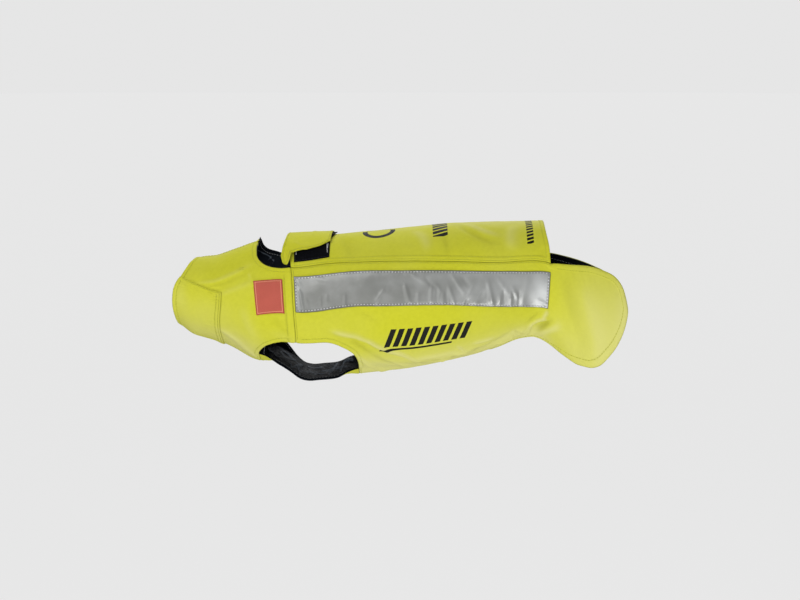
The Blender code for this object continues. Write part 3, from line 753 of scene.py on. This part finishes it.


# Reflective tape: a fine grid of pressed cells in a silver film, cloudy where rubbed, a painted reflection at
# listed places, painted shade along its stitched rows, and an edge darkened partly as its own border and
# partly as painted shade
def tapeFinish():
    f = Finish("silver reflective tape", Metallic=0.3, Specular_IOR_Level=0.5)
    u, v = f.cut()
    cell = f.maths("ABSOLUTE", f.maths("SINE", u * 250.0)) * f.maths("ABSOLUTE", f.maths("SINE", v * 250.0))
    where = f.place()
    cloud = f.step(f.noise(where, 34.0, 4.0), 0.35, 0.75)
    tone = f.mix(cloud * 0.6 + cell * 0.3, (0.20, 0.205, 0.19), (0.32, 0.325, 0.315))
    # painted reflection at the listed places
    tone = f.mix(f.value("pale"), tone, (0.62, 0.64, 0.64))
    # painted shade along the stitched rows
    tone = f.mix(f.value("paintedShade") * 0.75, tone, (0.11, 0.11, 0.10))
    # darker edge: partly the tape's own grey border, partly painted shade
    tone = f.mix(1 - f.step(f.value("edge"), 0.4, 1.3), tone, (0.085, 0.085, 0.07))
    return f.wear(Base_Color=tone, Roughness=0.30 + 0.14 * cloud + 0.12 * f.value("pale"),
                  Normal=f.bump(f.noise(where, 160.0, 3.0), 0.16, 0.0004, f.bump(cell, 0.25, 0.0002)))


# Red twill patch: slanted threads, a darker heat-cut border and a paler pressed line inside it
def badgeFinish():
    f = Finish("red twill patch", Roughness=0.8, Sheen_Weight=0.08)
    u, v = f.cut()
    twill = f.step(f.maths("SINE", (u + v) * 620.0), -0.6, 0.6)
    where = f.place()
    edge = f.value("edge")
    grain = twill * 0.4 + f.noise(where, 60.0, 3.0) * 0.6
    tone = f.mix(grain, (0.39, 0.070, 0.042), (0.54, 0.102, 0.070))
    tone = f.mix(1 - f.step(edge, 0.9, 1.4), tone, (0.40, 0.045, 0.028))
    tone = f.mix(within(f, edge, 1.8, 2.7, 0.25) * 0.55, tone, (0.82, 0.36, 0.20))
    rough = 0.72 + 0.14 * f.noise(where, 80.0)
    return f.wear(Base_Color=tone, Roughness=rough, Normal=f.bump(twill, 0.3, 0.0003))


# Hook and loop: matted fuzz, two sizes of noise
def fuzzFinish():
    f = Finish("black hook and loop", Specular_IOR_Level=0.05)
    where = f.place()
    fuzz = f.noise(where, 900.0, 3.0)
    tone = f.mix(f.step(fuzz, 0.4, 0.7), (0.0012, 0.0012, 0.002), (0.006, 0.006, 0.0095))
    return f.wear(Base_Color=tone, Roughness=0.8 + 0.15 * fuzz,
                  Normal=f.bump(fuzz, 0.8, 0.0008, f.bump(f.noise(where, 240.0), 0.3, 0.0008)))


# Thread: plies wound round the stitch, seen as slanted stripes
def threadFinish(name, light, dark):
    f = Finish(name, Specular_IOR_Level=0.25)
    u, v = f.cut()
    plies = f.step(f.maths("SINE", u * 900.0 + v * 1400.0), -0.5, 0.8)
    return f.wear(Base_Color=f.mix(plies * 0.7 + f.noise(f.place(), 400.0) * 0.3, dark, light),
                  Roughness=0.5 + 0.2 * plies, Normal=f.bump(plies, 0.3, 0.0002))


finishes = {
    "cloth": clothFinish("fluorescent yellow cloth"),
    "flank": clothFinish("fluorescent yellow cloth, printed flank", flankInk),
    "back": clothFinish("fluorescent yellow cloth, printed back", backInk),
    "lining": liningFinish(),
    "tape": tapeFinish(),
    "badge": badgeFinish(),
    "fuzz": fuzzFinish(),
    "yellowThread": threadFinish("yellow thread", (0.58, 0.60, 0.05), (0.34, 0.36, 0.02)),
    "greyThread": threadFinish("silver grey thread", (0.34, 0.35, 0.35), (0.16, 0.165, 0.17)),
    "paleThread": threadFinish("pale thread", (0.88, 0.89, 0.89), (0.62, 0.63, 0.63)),
    "blueThread": threadFinish("slate thread", (0.014, 0.016, 0.028), (0.005, 0.006, 0.01)),
    "redThread": threadFinish("pale red thread", (0.72, 0.28, 0.18), (0.45, 0.10, 0.06)),
}
print("finishes made:", len(finishes))

wall, gap, film = worn["wall"], worn["gap"], worn["lining"]
even = 3.0  # spacing of the points along a panel's edge


def line(name, spacing=even):
    return drawn(lines[name], spacing)


def back(points):  # the same line, followed backwards
    return points[::-1]


# Turn at which the strap's side meets the trunk at x
def strapTurn(x):
    half = through(worn["sections"], np.array([x]))[0, 2]
    return 180 - math.degrees(math.asin(worn["strap"]["half"] / half))


shoulder = [line("shoulderTop"), line("shoulderTape"), line("shoulderLow")]
front, rear = worn["strap"]["front"], worn["strap"]["rear"]
frontTurn, rearTurn = strapTurn(front), strapTurn(rear)
armFront = drawn(((front, frontTurn), *lines["armFront"]), even)
armRear = drawn((*lines["armRear"], (rear, rearTurn)), even)


# A front panel, its edge at the withers opening of some kind
def frontPattern(kind, spacing=even, pull=gap / 2):
    return pattern([
        (line("rimAbove"), "hem"), (line("rimBelow"), "hem"), (line("chestCentre"), "seam"),
        (drawn(((front, 180), (front, frontTurn)), even), "seam"), (armFront, "hem"),
        *((back(part), "frontSeam") for part in shoulder[::-1]), (back(line("opening")), kind),
        (back(line("nape")), "seam")], spacing, pull=pull)


panels = {
    "front": frontPattern("hem"),
    "body": pattern([
        *((part, "seam") for part in shoulder), (armRear, "hem"),
        (drawn(((rear, rearTurn), (rear, 180)), even), "seam"), (back(line("bellyCentre")), "seam"),
        (back(line("flankTop")), "guardHem"), (back(line("backSeam")), "seam")], 2.1),
    "back": pattern([
        (back(line("backFront")), "hem"), (line("backSeam"), "backSeam"), (line("backRear"), "hem"),
        (back(line("backRear")) * (1, -1), "hem"), (back(line("backSeam")) * (1, -1), "backSeam"),
        (line("backFront") * (1, -1), "hem")], even),
}


# Lifts of the layers over the form: a panel's own face, and the lining's two faces behind it
def faceOf(piece, over=0.0):
    return lambda flat, a, b: edgeLift(piece, flat) + over


def level(lift):
    return lambda flat, a, b: np.full(len(a), lift)


crumples = ((0.55, 30, 21, 6), (0.35, 15, 22, 7))  # height, wave, seed and sharpness of the lining's ridges
streakView = (1, 0.3)  # streaks look as wide along the view as across it


# Crumpling of the lining: narrow ridges where a slow unevenness passes zero, two sizes of them, fading at its
# edge, and streaks that fade as exp(-(distance / width)²); the same values set the lining's painted highlight
def crumple(piece, flat, base, size):
    ridges = sum(height * np.clip(1 - np.abs(swell(base, 1.0, wave, seed)), 0, 1) ** sharp
                 for height, wave, seed, sharp in crumples)
    shine = np.zeros(len(flat))
    for width, strength, path in piece.get("streaks", ()):
        path = drawn(path, 2.0) * streakView
        away = nearest(flat * streakView, path[:-1], path[1:], np.zeros(len(path) - 1))[0]
        shine = np.maximum(shine, strength * np.exp(-(away / width) ** 2))
    return size * (ridges * rise(toEdge(piece, flat)[0], 2, 12) + shine)


def liningFace(piece, form, size):
    return lambda flat, a, b: (-wall - gap - film + 0.0 * a - crumple(piece, flat, form(a, b), size)
                               - 0.6 * np.minimum(edgeLift(piece, flat), 0))


# The lip of a lining that is turned over the wall's edge, where its cut has edges of that kind
def lip(piece, flat):
    if "lip" not in piece["finish"]:
        return np.zeros(len(flat))
    return (wall + gap + lipShape["proud"]) * (1 - rise(toEdge(piece, flat, "lip")[0], *lipShape["fall"]))


# Makes one panel with its lining and their stitches, and prints its faces and its rows of stitches inside
def makePanel(name, node, liningNode, piece, form, finish, cloth, kinds, right=False, cover=None):
    outer = sewCloth(name, piece, form, faceOf(piece), level(-wall), right)
    panel = addPiece(name, outer, finishes[finish], [node])
    rows = edgeRows(piece, kinds, form, faceOf(piece, proud["panel"]), right)
    if not right:
        rows += [flatRow(piece, drawn(path, 1.0) * (1, piece["degree"]), form, faceOf(piece, proud["tack"]))
                 for path in tacks.get(name, ())]
    threads = addStitches(name + "Stitches", rows, "yellowThread", "yellow_cloth")
    if cover is None:  # linings meet at their seams, so that no light shows through
        cover = piece["lined"] = piece.get("lined") or pattern(piece["parts"], piece["spacing"], pull=0.0)
    face = liningFace(cover, form, cloth["crumple"])
    inner = sewCloth(name + "Lining", cover, form, lambda flat, a, b: lip(cover, flat) - wall - gap,
                     lambda flat, a, b: face(flat, a, b) + 0.9 * lip(cover, flat), right,
                     # the crumple's ridges and streaks, as the lining's painted highlight
                     lambda flat, a, b: crumple(cover, flat, form(a, b), 1.0))
    lining = addPiece(name + "Lining", inner, finishes["lining"], [liningNode])
    kinds = [kind for kind in kinds if kind != "seam"] + ["lip"]
    rows = edgeRows(cover, kinds, form, lambda flat, a, b: face(flat, a, b) - proud["panel"], right)
    rows = [(path, -normal) for path, normal in rows]
    innerThreads = addStitches(name + "LiningStitches", rows, "greyThread", "black_lining", radius=0.4)
    print(name, "sewn,", len(outer.polygons), "faces,", len(rows), "rows of stitches inside")


# Short rows of stitches that hold a layer underneath, at x and turn
tacks = {"frontLeft": (((-219, 46.8), (-209, 47.2)), ((-219, 49.0), (-209, 49.4)))}
frontCloth = {"flat": (0.25, 0.171), "area": 0.0282, "crumple": 1.0}
bodyCloth = {"flat": (0.223, 0.458), "area": 0.0718, "crumple": 1.2}
backCloth = {"flat": (0.17, 0.355), "area": 0.0554, "crumple": 0.9}
openingStreaks = (  # tacking of the far lining, over x and flat distance
    (0.5, 0.9, ((-203, 52), (-198, 62), (-189, 73), (-182, 86))),
    (0.5, 0.8, ((-191, 84), (-187, 79), (-182, 76))),
)
openingCover = dict(frontPattern("lip", 2.0, 0.0), streaks=openingStreaks)
frontKinds, bodyKinds = ("hem", "seam", "frontSeam"), ("hem", "seam", "guardHem")
for side, cover in (("Left", None), ("Right", openingCover)):
    node, right = "front_" + side.lower(), side == "Right"
    makePanel("front" + side, node, "lining_" + node, panels["front"], trunkForm, "cloth", frontCloth,
              frontKinds, right, cover)
for side in ("Left", "Right"):
    node, right = "body_" + side.lower(), side == "Right"
    makePanel("body" + side, node, "lining_" + node, panels["body"], trunkForm, "flank", bodyCloth, bodyKinds,
              right)
makePanel("backPanel", "back_panel", "lining_back", panels["back"], trunkForm, "back", backCloth,
          ("hem", "backSeam"))


# The chest strap, cut in x and y, its right edge flared, its sides of some finish
def strapPattern(kind):
    half = worn["strap"]["half"]
    ends = []
    for x, turn in ((front, frontTurn), (rear, rearTurn)):
        turns = drawn(((x, turn), (x, 180)), even)[:, 1]
        y = -through(worn["sections"], np.array([x]))[0, 2] * np.sin(np.radians(turns))
        ends.append(np.column_stack([np.full(2 * len(y) - 1, x), [*y, *-y[-2::-1]]]))
    x = np.linspace(front, rear, 46)
    left = np.column_stack([x, np.full(len(x), -half)])
    right = np.column_stack([x, half + through(worn["strapEdges"], x)[:, 1]])
    sides = [(ends[0][::-1], "seam"), (left, kind), (ends[1], "seam"), (right[::-1], kind)]
    return pattern(sides, 1.5, degree=1.0)


strapCloth = {"flat": (0.102, 0.15), "area": 0.014, "crumple": 1.2}
strapStreaks = (  # creases of the strap's lining, raised and given a painted highlight: width, strength and path over x and y
    (1.33, 1.0, ((-171.7, 27.2), (-166, 20), (-162.3, 15.9), (-152.7, 23.7))),
    (1.52, 1.1, ((-155.3, -10), (-153, -20), (-148.5, 3.7), (-142.8, 23.3))),
    (1.33, 0.9, ((-147.3, 19.2), (-144.4, 1.8), (-139.4, -40))),
    (1.52, 1.2, ((-99.9, -8.5), (-97.4, 9.9), (-90, 37.6))),
    (1.52, 1.1, ((-82.9, -9.3), (-80.7, 20.9), (-74.4, 37), (-67.5, 35.2))),
    (1.33, 0.8, ((-132.9, 33.3), (-125.8, 29.3), (-111.9, 26.9))),
    (1.14, 0.7, ((-188.6, 29.2), (-179, 15.8), (-166.4, -17))),
    (1.33, 0.8, ((-119.4, 12.1), (-109.9, -5), (-103.5, 6.6))),
    (1.33, 0.8, ((-95.7, 22.4), (-103.7, 12), (-111, 15.2))),
    (1.14, 0.7, ((-170.9, 38.5), (-160.3, 30.6), (-149.2, 22))),
    (4.5, 0.55, ((-150, -6), (-136, 4), (-118, 6))),
    (3.0, 0.45, ((-112, 10), (-98, 16))), (3.0, 0.4, ((-88, 20), (-76, 12))),
)
makePanel("chestStrap", "chest_strap", "lining_strap", strapPattern("hem"), strapForm, "cloth", strapCloth,
          ("hem",), cover=dict(strapPattern("lip"), streaks=strapStreaks))


# Throat guard, over the rim's lower part from side to side: its right half runs on past 180 degrees
rimBelow, guardTop, guardRear = line("rimBelow", 2.4), line("guardTop", 2.4), line("guardRear", 2.4)


def across(points):
    return back(points) * (1, -1) + (0, 360)


guard = pattern([
    (rimBelow, "hem"), (across(rimBelow), "hem"), (across(guardTop)[::-1], "fold"),
    (across(guardRear)[::-1], "doubleFold"), (back(guardRear), "doubleFold"), (back(guardTop), "fold")], 2.4)


# The guard's own face over the front panels: their rolled edges don't show through it
def guardBase(flat):
    y = np.minimum(flat[:, 1], 360 * worn["degree"] - flat[:, 1])
    return np.maximum(edgeLift(panels["front"], np.column_stack([flat[:, 0], y])), 0) * 0.8


# x, turn, heading, half length, half width, bend, height of small puckers on what is sewn on
gathers = (
    (-251, 78.3, 3, 5, 1.2, 0, -0.8), (-251, 80.3, 0, 6, 1.1, 0, 0.7),
    (-251.5, 82.4, -2, 6, 1.2, 0, -0.8), (-251, 84.6, 0, 5, 1.1, 0, 0.6),
    (-252, 86.8, 3, 5, 1.2, 0, -0.6), (-257, 74.5, 22, 7, 1.4, 0, -0.5), (-250, 119, 4, 7, 1.6, 0, 0.5),
    (-250, 141, -6, 6, 1.6, 0, -0.45), (-250, 163, 2, 7, 1.6, 0, 0.4), (-296, 66, 24, 9, 2, 0, 0.45),
    (-281, 71, 30, 8, 1.8, 0, -0.4), (-304, 96, 10, 8, 2.2, 0, 0.4), (-303, 140, -8, 8, 2.2, 0, 0.4),
    (-251, 280.5, 2, 6, 1.2, 0, -0.8), (-251, 277.6, -2, 6, 1.2, 0, 0.7),
    (-252, 275, 0, 5, 1.2, 0, -0.6), (-251, 262, 4, 6, 1.6, 0, 0.5), (-250, 215, -3, 7, 1.6, 0, -0.45),
    (-295, 292, 20, 9, 2, 0, 0.4), (-303, 230, 6, 8, 2.2, 0, 0.4), (-250, 197, 3, 6, 1.5, 0, 0.4),
)
tapePuckers = (
    (-133, 74, 79, 17, 2, 0, 0.9), (-136, 66, 55, 6, 1.6, 0, -0.8), (-124, 80, 73, 8, 1.5, 0, 0.5),
    (-107, 78, 97, 7, 1.4, 0, 0.7), (-98, 75, 96, 5, 1.5, 0, 0.6), (-74, 79, 92, 8, 1.3, 0, 0.8),
    (-28, 78, 127, 11, 2.2, 0, 0.8), (9, 78, 75, 12, 2.4, 0, 0.9), (23, 83, 96, 8, 1.4, 0, 0.9),
    (25, 83, 96, 8, 1.5, 0, 0.5), (41, 82, 95, 10, 1.9, 0, 1.1), (51, 77, 54, 8, 1.8, 0, 0.5),
    (57, 87, 94, 8, 1.5, 0, 0.7), (69, 85, 72, 14, 2.2, 0, 1), (77, 76, 58, 16, 2.6, 0, 0.7),
    (90, 87, 127, 15, 2.2, 0, 0.9), (121, 89, 79, 17, 2.8, 0, 1.4), (109, 90, 120, 9, 2.4, 0, -0.7),
    (134, 97, 92, 9, 1.5, 0, 0.9), (149, 98, 89, 11, 1.9, 0, 1), (155, 93, 67, 11, 2.2, 0, 0.6),
    (138, 84, 60, 14, 3, 0, 0.6), (49, 83, 93, 10, 1.6, 0, -0.7), (62, 86, 85, 9, 1.4, 0, -0.8),
    (90, 92, 110, 4, 1.6, 0, -0.5), (140, 93, 90, 12, 2.2, 0, -0.7), (161, 100, 89, 12, 2, 0, -0.7),
    (26, 68, 35, 13, 3, 0, 0.5), (38, 71, 54, 8, 2.4, 0, -0.5), (87, 75, 53, 9, 3, 0, -0.6),
    (168, 92, 103, 24, 5, 0, 0.7), (194, 104, 15, 8, 3, 0, 0.5), (-106, 60, 21, 15, 3, 0, 0.4),
)


# The sum of the folds in a table of puckers
def puckers(rows, gain=1.0):
    def height(flat, a, b):
        lift = 0 * a
        for fx, fturn, heading, length, width, bend, rising in rows:
            down = (np.abs(b) - fturn) * worn["degree"]
            lift += gain * rising * fold(a - fx, down, heading, length, width, bend)
        return lift
    return height


# What lies on the panels: its own cut over their face at its own lift, with the finish of its own edge
def sewOn(name, node, piece, under, cloth, kinds, right=False, extra=None, bead=None, held=()):
    finish, slot = cloth["finish"], cloth["slot"]
    over = lambda flat, a, b: under(flat, a, b) + (extra(flat, a, b) if extra else 0)
    outer = lambda flat, a, b: over(flat, a, b) + cloth["thickness"] + edgeLift(piece, flat)
    inner = lambda flat, a, b: under(flat, a, b) + (np.maximum(extra(flat, a, b), 0) if extra else 0)
    raised = lambda over: lambda flat, a, b: outer(flat, a, b) + over
    sheet = sewCloth(name, piece, trunkForm, outer, inner, right, finish if finish in paintedHighlights else "none")
    overlay = addPiece(name, sheet, finishes[finish], [node])
    rows = edgeRows(piece, kinds, trunkForm, raised(proud["sewnOn"]), right)
    beads = [addStitches(name + "Stitches", rows, cloth["thread"], slot, **(bead or {}))]
    if held:
        rows = [flatRow(piece, drawn(path, 0.8) * (1, piece["degree"]), trunkForm, raised(proud["tack"]))
                for path in held]
        beads.append(addStitches(name + "Tacks", rows, "paleThread", slot, **tack))
    print(name, "sewn on,", len(sheet.polygons), "faces")


yellow = {"thickness": 1.4, "finish": "cloth", "slot": "yellow_cloth", "thread": "yellowThread"}
silver = {"thickness": 1.0, "finish": "tape", "slot": "reflective_tape", "thread": "paleThread"}
red = {"thickness": 1.2, "finish": "badge", "slot": "red_patch", "thread": "redThread"}
fuzzy = {"thickness": 1.0, "finish": "fuzz", "slot": "hook_and_loop", "thread": "blueThread"}
tack = {"length": 1.8, "pitch": 2.4, "radius": 0.45}
guardCloth = {"flat": (0.07, 0.245), "area": 0.015, **yellow}
sewOn("throatGuard", "throat_guard", guard, lambda flat, a, b: guardBase(flat) + gap, guardCloth,
      ("hem", "fold", "doubleFold"), extra=puckers(gathers))


# Lift just above a panel's own face
def onPanel(panel):
    return lambda flat, a, b: np.maximum(edgeLift(panels[panel], flat), -0.2) + gap


tapeLine = {
    "front": ((-143.2, 57.4), (-140.2, 86.0)),
    "low": ((-140.2, 86), (-80.5, 83.5), (-27, 85.5), (27, 88.5), (80.5, 94.2), (131, 102), (149, 105.4),
            (165.5, 108.4), (184, 110.4), (201.5, 108)),
    "end": ((201.5, 108.0), (204.0, 73.8)),
    "top": ((204, 73.8), (182.5, 75.2), (165, 74.2), (148.5, 72.2), (130.5, 70.4), (80.5, 65.4),
            (27, 60.4), (-27, 57), (-80.5, 55.2), (-143.2, 57.4)),
}
tape = pattern([(drawn(points, 2.0), "tapeEdge") for points in tapeLine.values()], 1.9)
tapeCloth = {"flat": (0.05, 0.35), "area": 0.0169, **silver}
tapeStitch = {"length": 2.2, "pitch": 4.2, "radius": 0.56}
for side in ("left", "right"):
    sewOn(side + "Tape", "tape_" + side, tape, onPanel("body"), tapeCloth, ("tapeEdge",), side == "right",
          puckers(tapePuckers, 1.4), tapeStitch)


# A patch with four or more straight sides
def patchPattern(corners, spacing):
    ends = zip(corners, corners[1:] + corners[:1])
    return pattern([(drawn(side, spacing), "patchEdge") for side in ends], spacing)


tabCut = pattern([
    (line("tabRoot", 2.4), "seam"), (line("tabRear", 2.4), "fold"), (line("tabEnd", 2.4), "fold"),
    (line("tabCorner", 2.4), "fold"), (line("tabFront", 2.4), "fold")], 2.4)
tabForm = {"root": 0.9, "lift": 3.7, "hook": 2.0, "rise": (-48, -18), "droop": 8.0, "droopX": (-148, -162),
           "droopTurn": (26, 48)}


# The tab's underside: up from its sewn end onto the patches, its free corner falling into the withers opening
def tabUnder(flat, a, b):
    s = tabForm
    lift = s["root"] + (s["lift"] - s["root"]) * rise(b, *s["rise"])
    return lift - s["droop"] * fall(a, *s["droopX"]) * rise(b, *s["droopTurn"])


# 0 above start, 1 below end, the same curve as rise
def fall(value, start, end):
    return rise(-value, -start, -end)


tabFolds = (
    (-156, 38, 70, 10, 2.8, 0, -2.6), (-151, 40, 66, 9, 2.4, 0, 1.2), (-124, 30, 14, 26, 2.6, 2, 0.6),
    (-140, 20, 74, 20, 3, 3, -0.6), (-118, 4, 96, 24, 3.4, 0, 0.7), (-104, -20, 84, 18, 3, -2, -0.5),
    (-136, 30, 50, 12, 2.4, 0, 0.7), (-150, 39, 70, 9, 2.6, 0, 0.8),
)
badgeCloth = {"flat": (0.053, 0.043), "area": 0.0018, **red}
loopCloth = {"flat": (0.053, 0.05), "area": 0.0022, **fuzzy}
hookCloth = {"flat": (0.067, 0.056), "area": 0.0026, **fuzzy}
tabCloth = {"flat": (0.071, 0.147), "area": 0.008, **yellow}
loopTacks = (
    ((-99.5, 22), (-99.2, 29), (-98.2, 36)), ((-97.8, 24), (-98.6, 30)), ((-141.5, 31), (-140.6, 38)),
)
sewOn("redBadge", "badge", patchPattern(patches["badge"], 1.6), onPanel("front"), badgeCloth, ("patchEdge",),
      bead={"length": 1.5, "pitch": 2.4, "radius": 0.28})
sewOn("loopPatch", "loop_patch", patchPattern(patches["loop"], 2.2), level(gap), loopCloth, ("patchEdge",),
      held=loopTacks)
sewOn("hookPatch", "hook_patch", patchPattern(patches["hook"], 2.2), level(tabForm["hook"]), hookCloth,
      ("patchEdge",))
sewOn("closingTab", "closure_tab", tabCut, tabUnder, tabCloth, ("fold", "seam"), extra=puckers(tabFolds))

# Studio: a pale glowing floor and a sky of one shade, so that no horizon shows, and soft lamps round the vest
studio = {
    "floor": {"height": -1.6, "radius": 60.0, "colour": (0.04, 0.04, 0.04), "glow": 0.775},
    "sky": {"colour": (1.0, 1.0, 1.0), "seen": 0.79, "light": 0.36},
    "lights": (  # name, place, aim, size, power
        ("front", (-0.9, -2.5, 0.0), (0, 0, -0.1), 1.6, 10.0),
        ("key", (-1.3, -1.43, 1.65), (0, 0, -0.1), 1.2, 28.0),
        ("low", (0.4, -1.45, -1.45), (0, 0, -0.12), 1.0, 35.0),
        ("behind", (0.5, 2.2, 2.0), (0, 0, -0.1), 2.0, 50.0),
    ),
    "camera": {"place": (0, -1.9696, 0.2493), "aim": (0, 0, -0.098), "lens": 64.29},
}


# Turns a thing at a place so that it looks at another place
def aimed(item, place, aim):
    item.location = place
    item.rotation_euler = (Vector(aim) - Vector(place)).to_track_quat("-Z", "Y").to_euler()
    bpy.context.scene.collection.objects.link(item)
    return item


# The floor: a disc of rings, radius growing evenly, at one height
def floorMesh(height, radius, rings=24, spokes=96):
    angles = np.arange(spokes) * 2 * np.pi / spokes
    r, q = np.meshgrid(np.linspace(0, radius, rings + 1)[1:], angles, indexing="ij")
    around = np.stack([r * np.cos(q), r * np.sin(q), 0 * r + height], 2).reshape(-1, 3)
    points = np.concatenate([[[0, 0, height]], around])
    k = np.arange(spokes)
    ahead = (k + 1) % spokes
    first = np.column_stack([0 * k, 1 + k, 1 + ahead])
    base = 1 + np.arange(rings - 1)[:, None] * spokes
    quads = np.stack([base + k, base + spokes + k, base + spokes + ahead, base + ahead], 2).reshape(-1, 4)
    return newMesh("floor", points * 1000, first, quads, points[:, :2], 0 * points[:, 0])


ground = studio["floor"]
f = Finish("studio floor", Roughness=0.95, Specular_IOR_Level=0.1, Emission_Strength=1.0)
mottle = f.noise(f.place(), 3.0)
shade, glow = ground["colour"], (ground["glow"],) * 3
floor = bpy.data.objects.new("floor", floorMesh(ground["height"], ground["radius"]))
floor.data.materials.append(f.wear(
    Base_Color=f.mix(mottle, tuple(0.9 * c for c in shade), shade),
    Emission_Color=f.mix(mottle, tuple(0.998 * c for c in glow), glow)))
bpy.context.scene.collection.objects.link(floor)
floor.visible_diffuse = floor.visible_glossy = False

# The sky is seen in one shade and lights the vest with another
sky = Finish(bpy.data.worlds.new("studio"), "Background", Color=(*studio["sky"]["colour"], 1))
seen = sky.add("ShaderNodeMapRange", {}, {0: sky.add("ShaderNodeLightPath"), 3: studio["sky"]["light"],
                                          4: studio["sky"]["seen"]})
bpy.context.scene.world = sky.wear(Strength=seen)
bpy.context.scene.view_settings.view_transform = "Standard"
for name, place, aim, size, power in studio["lights"]:
    lamp = bpy.data.lights.new(name, "AREA")
    lamp.size, lamp.energy = size, power
    aimed(bpy.data.objects.new(name, lamp), place, aim)
camera = studio["camera"]
lens = bpy.data.cameras.new("camera")
lens.lens, lens.sensor_width, lens.clip_end = camera["lens"], 36, 60
bpy.context.scene.camera = aimed(bpy.data.objects.new("camera", lens), camera["place"], camera["aim"])
print("studio lit")
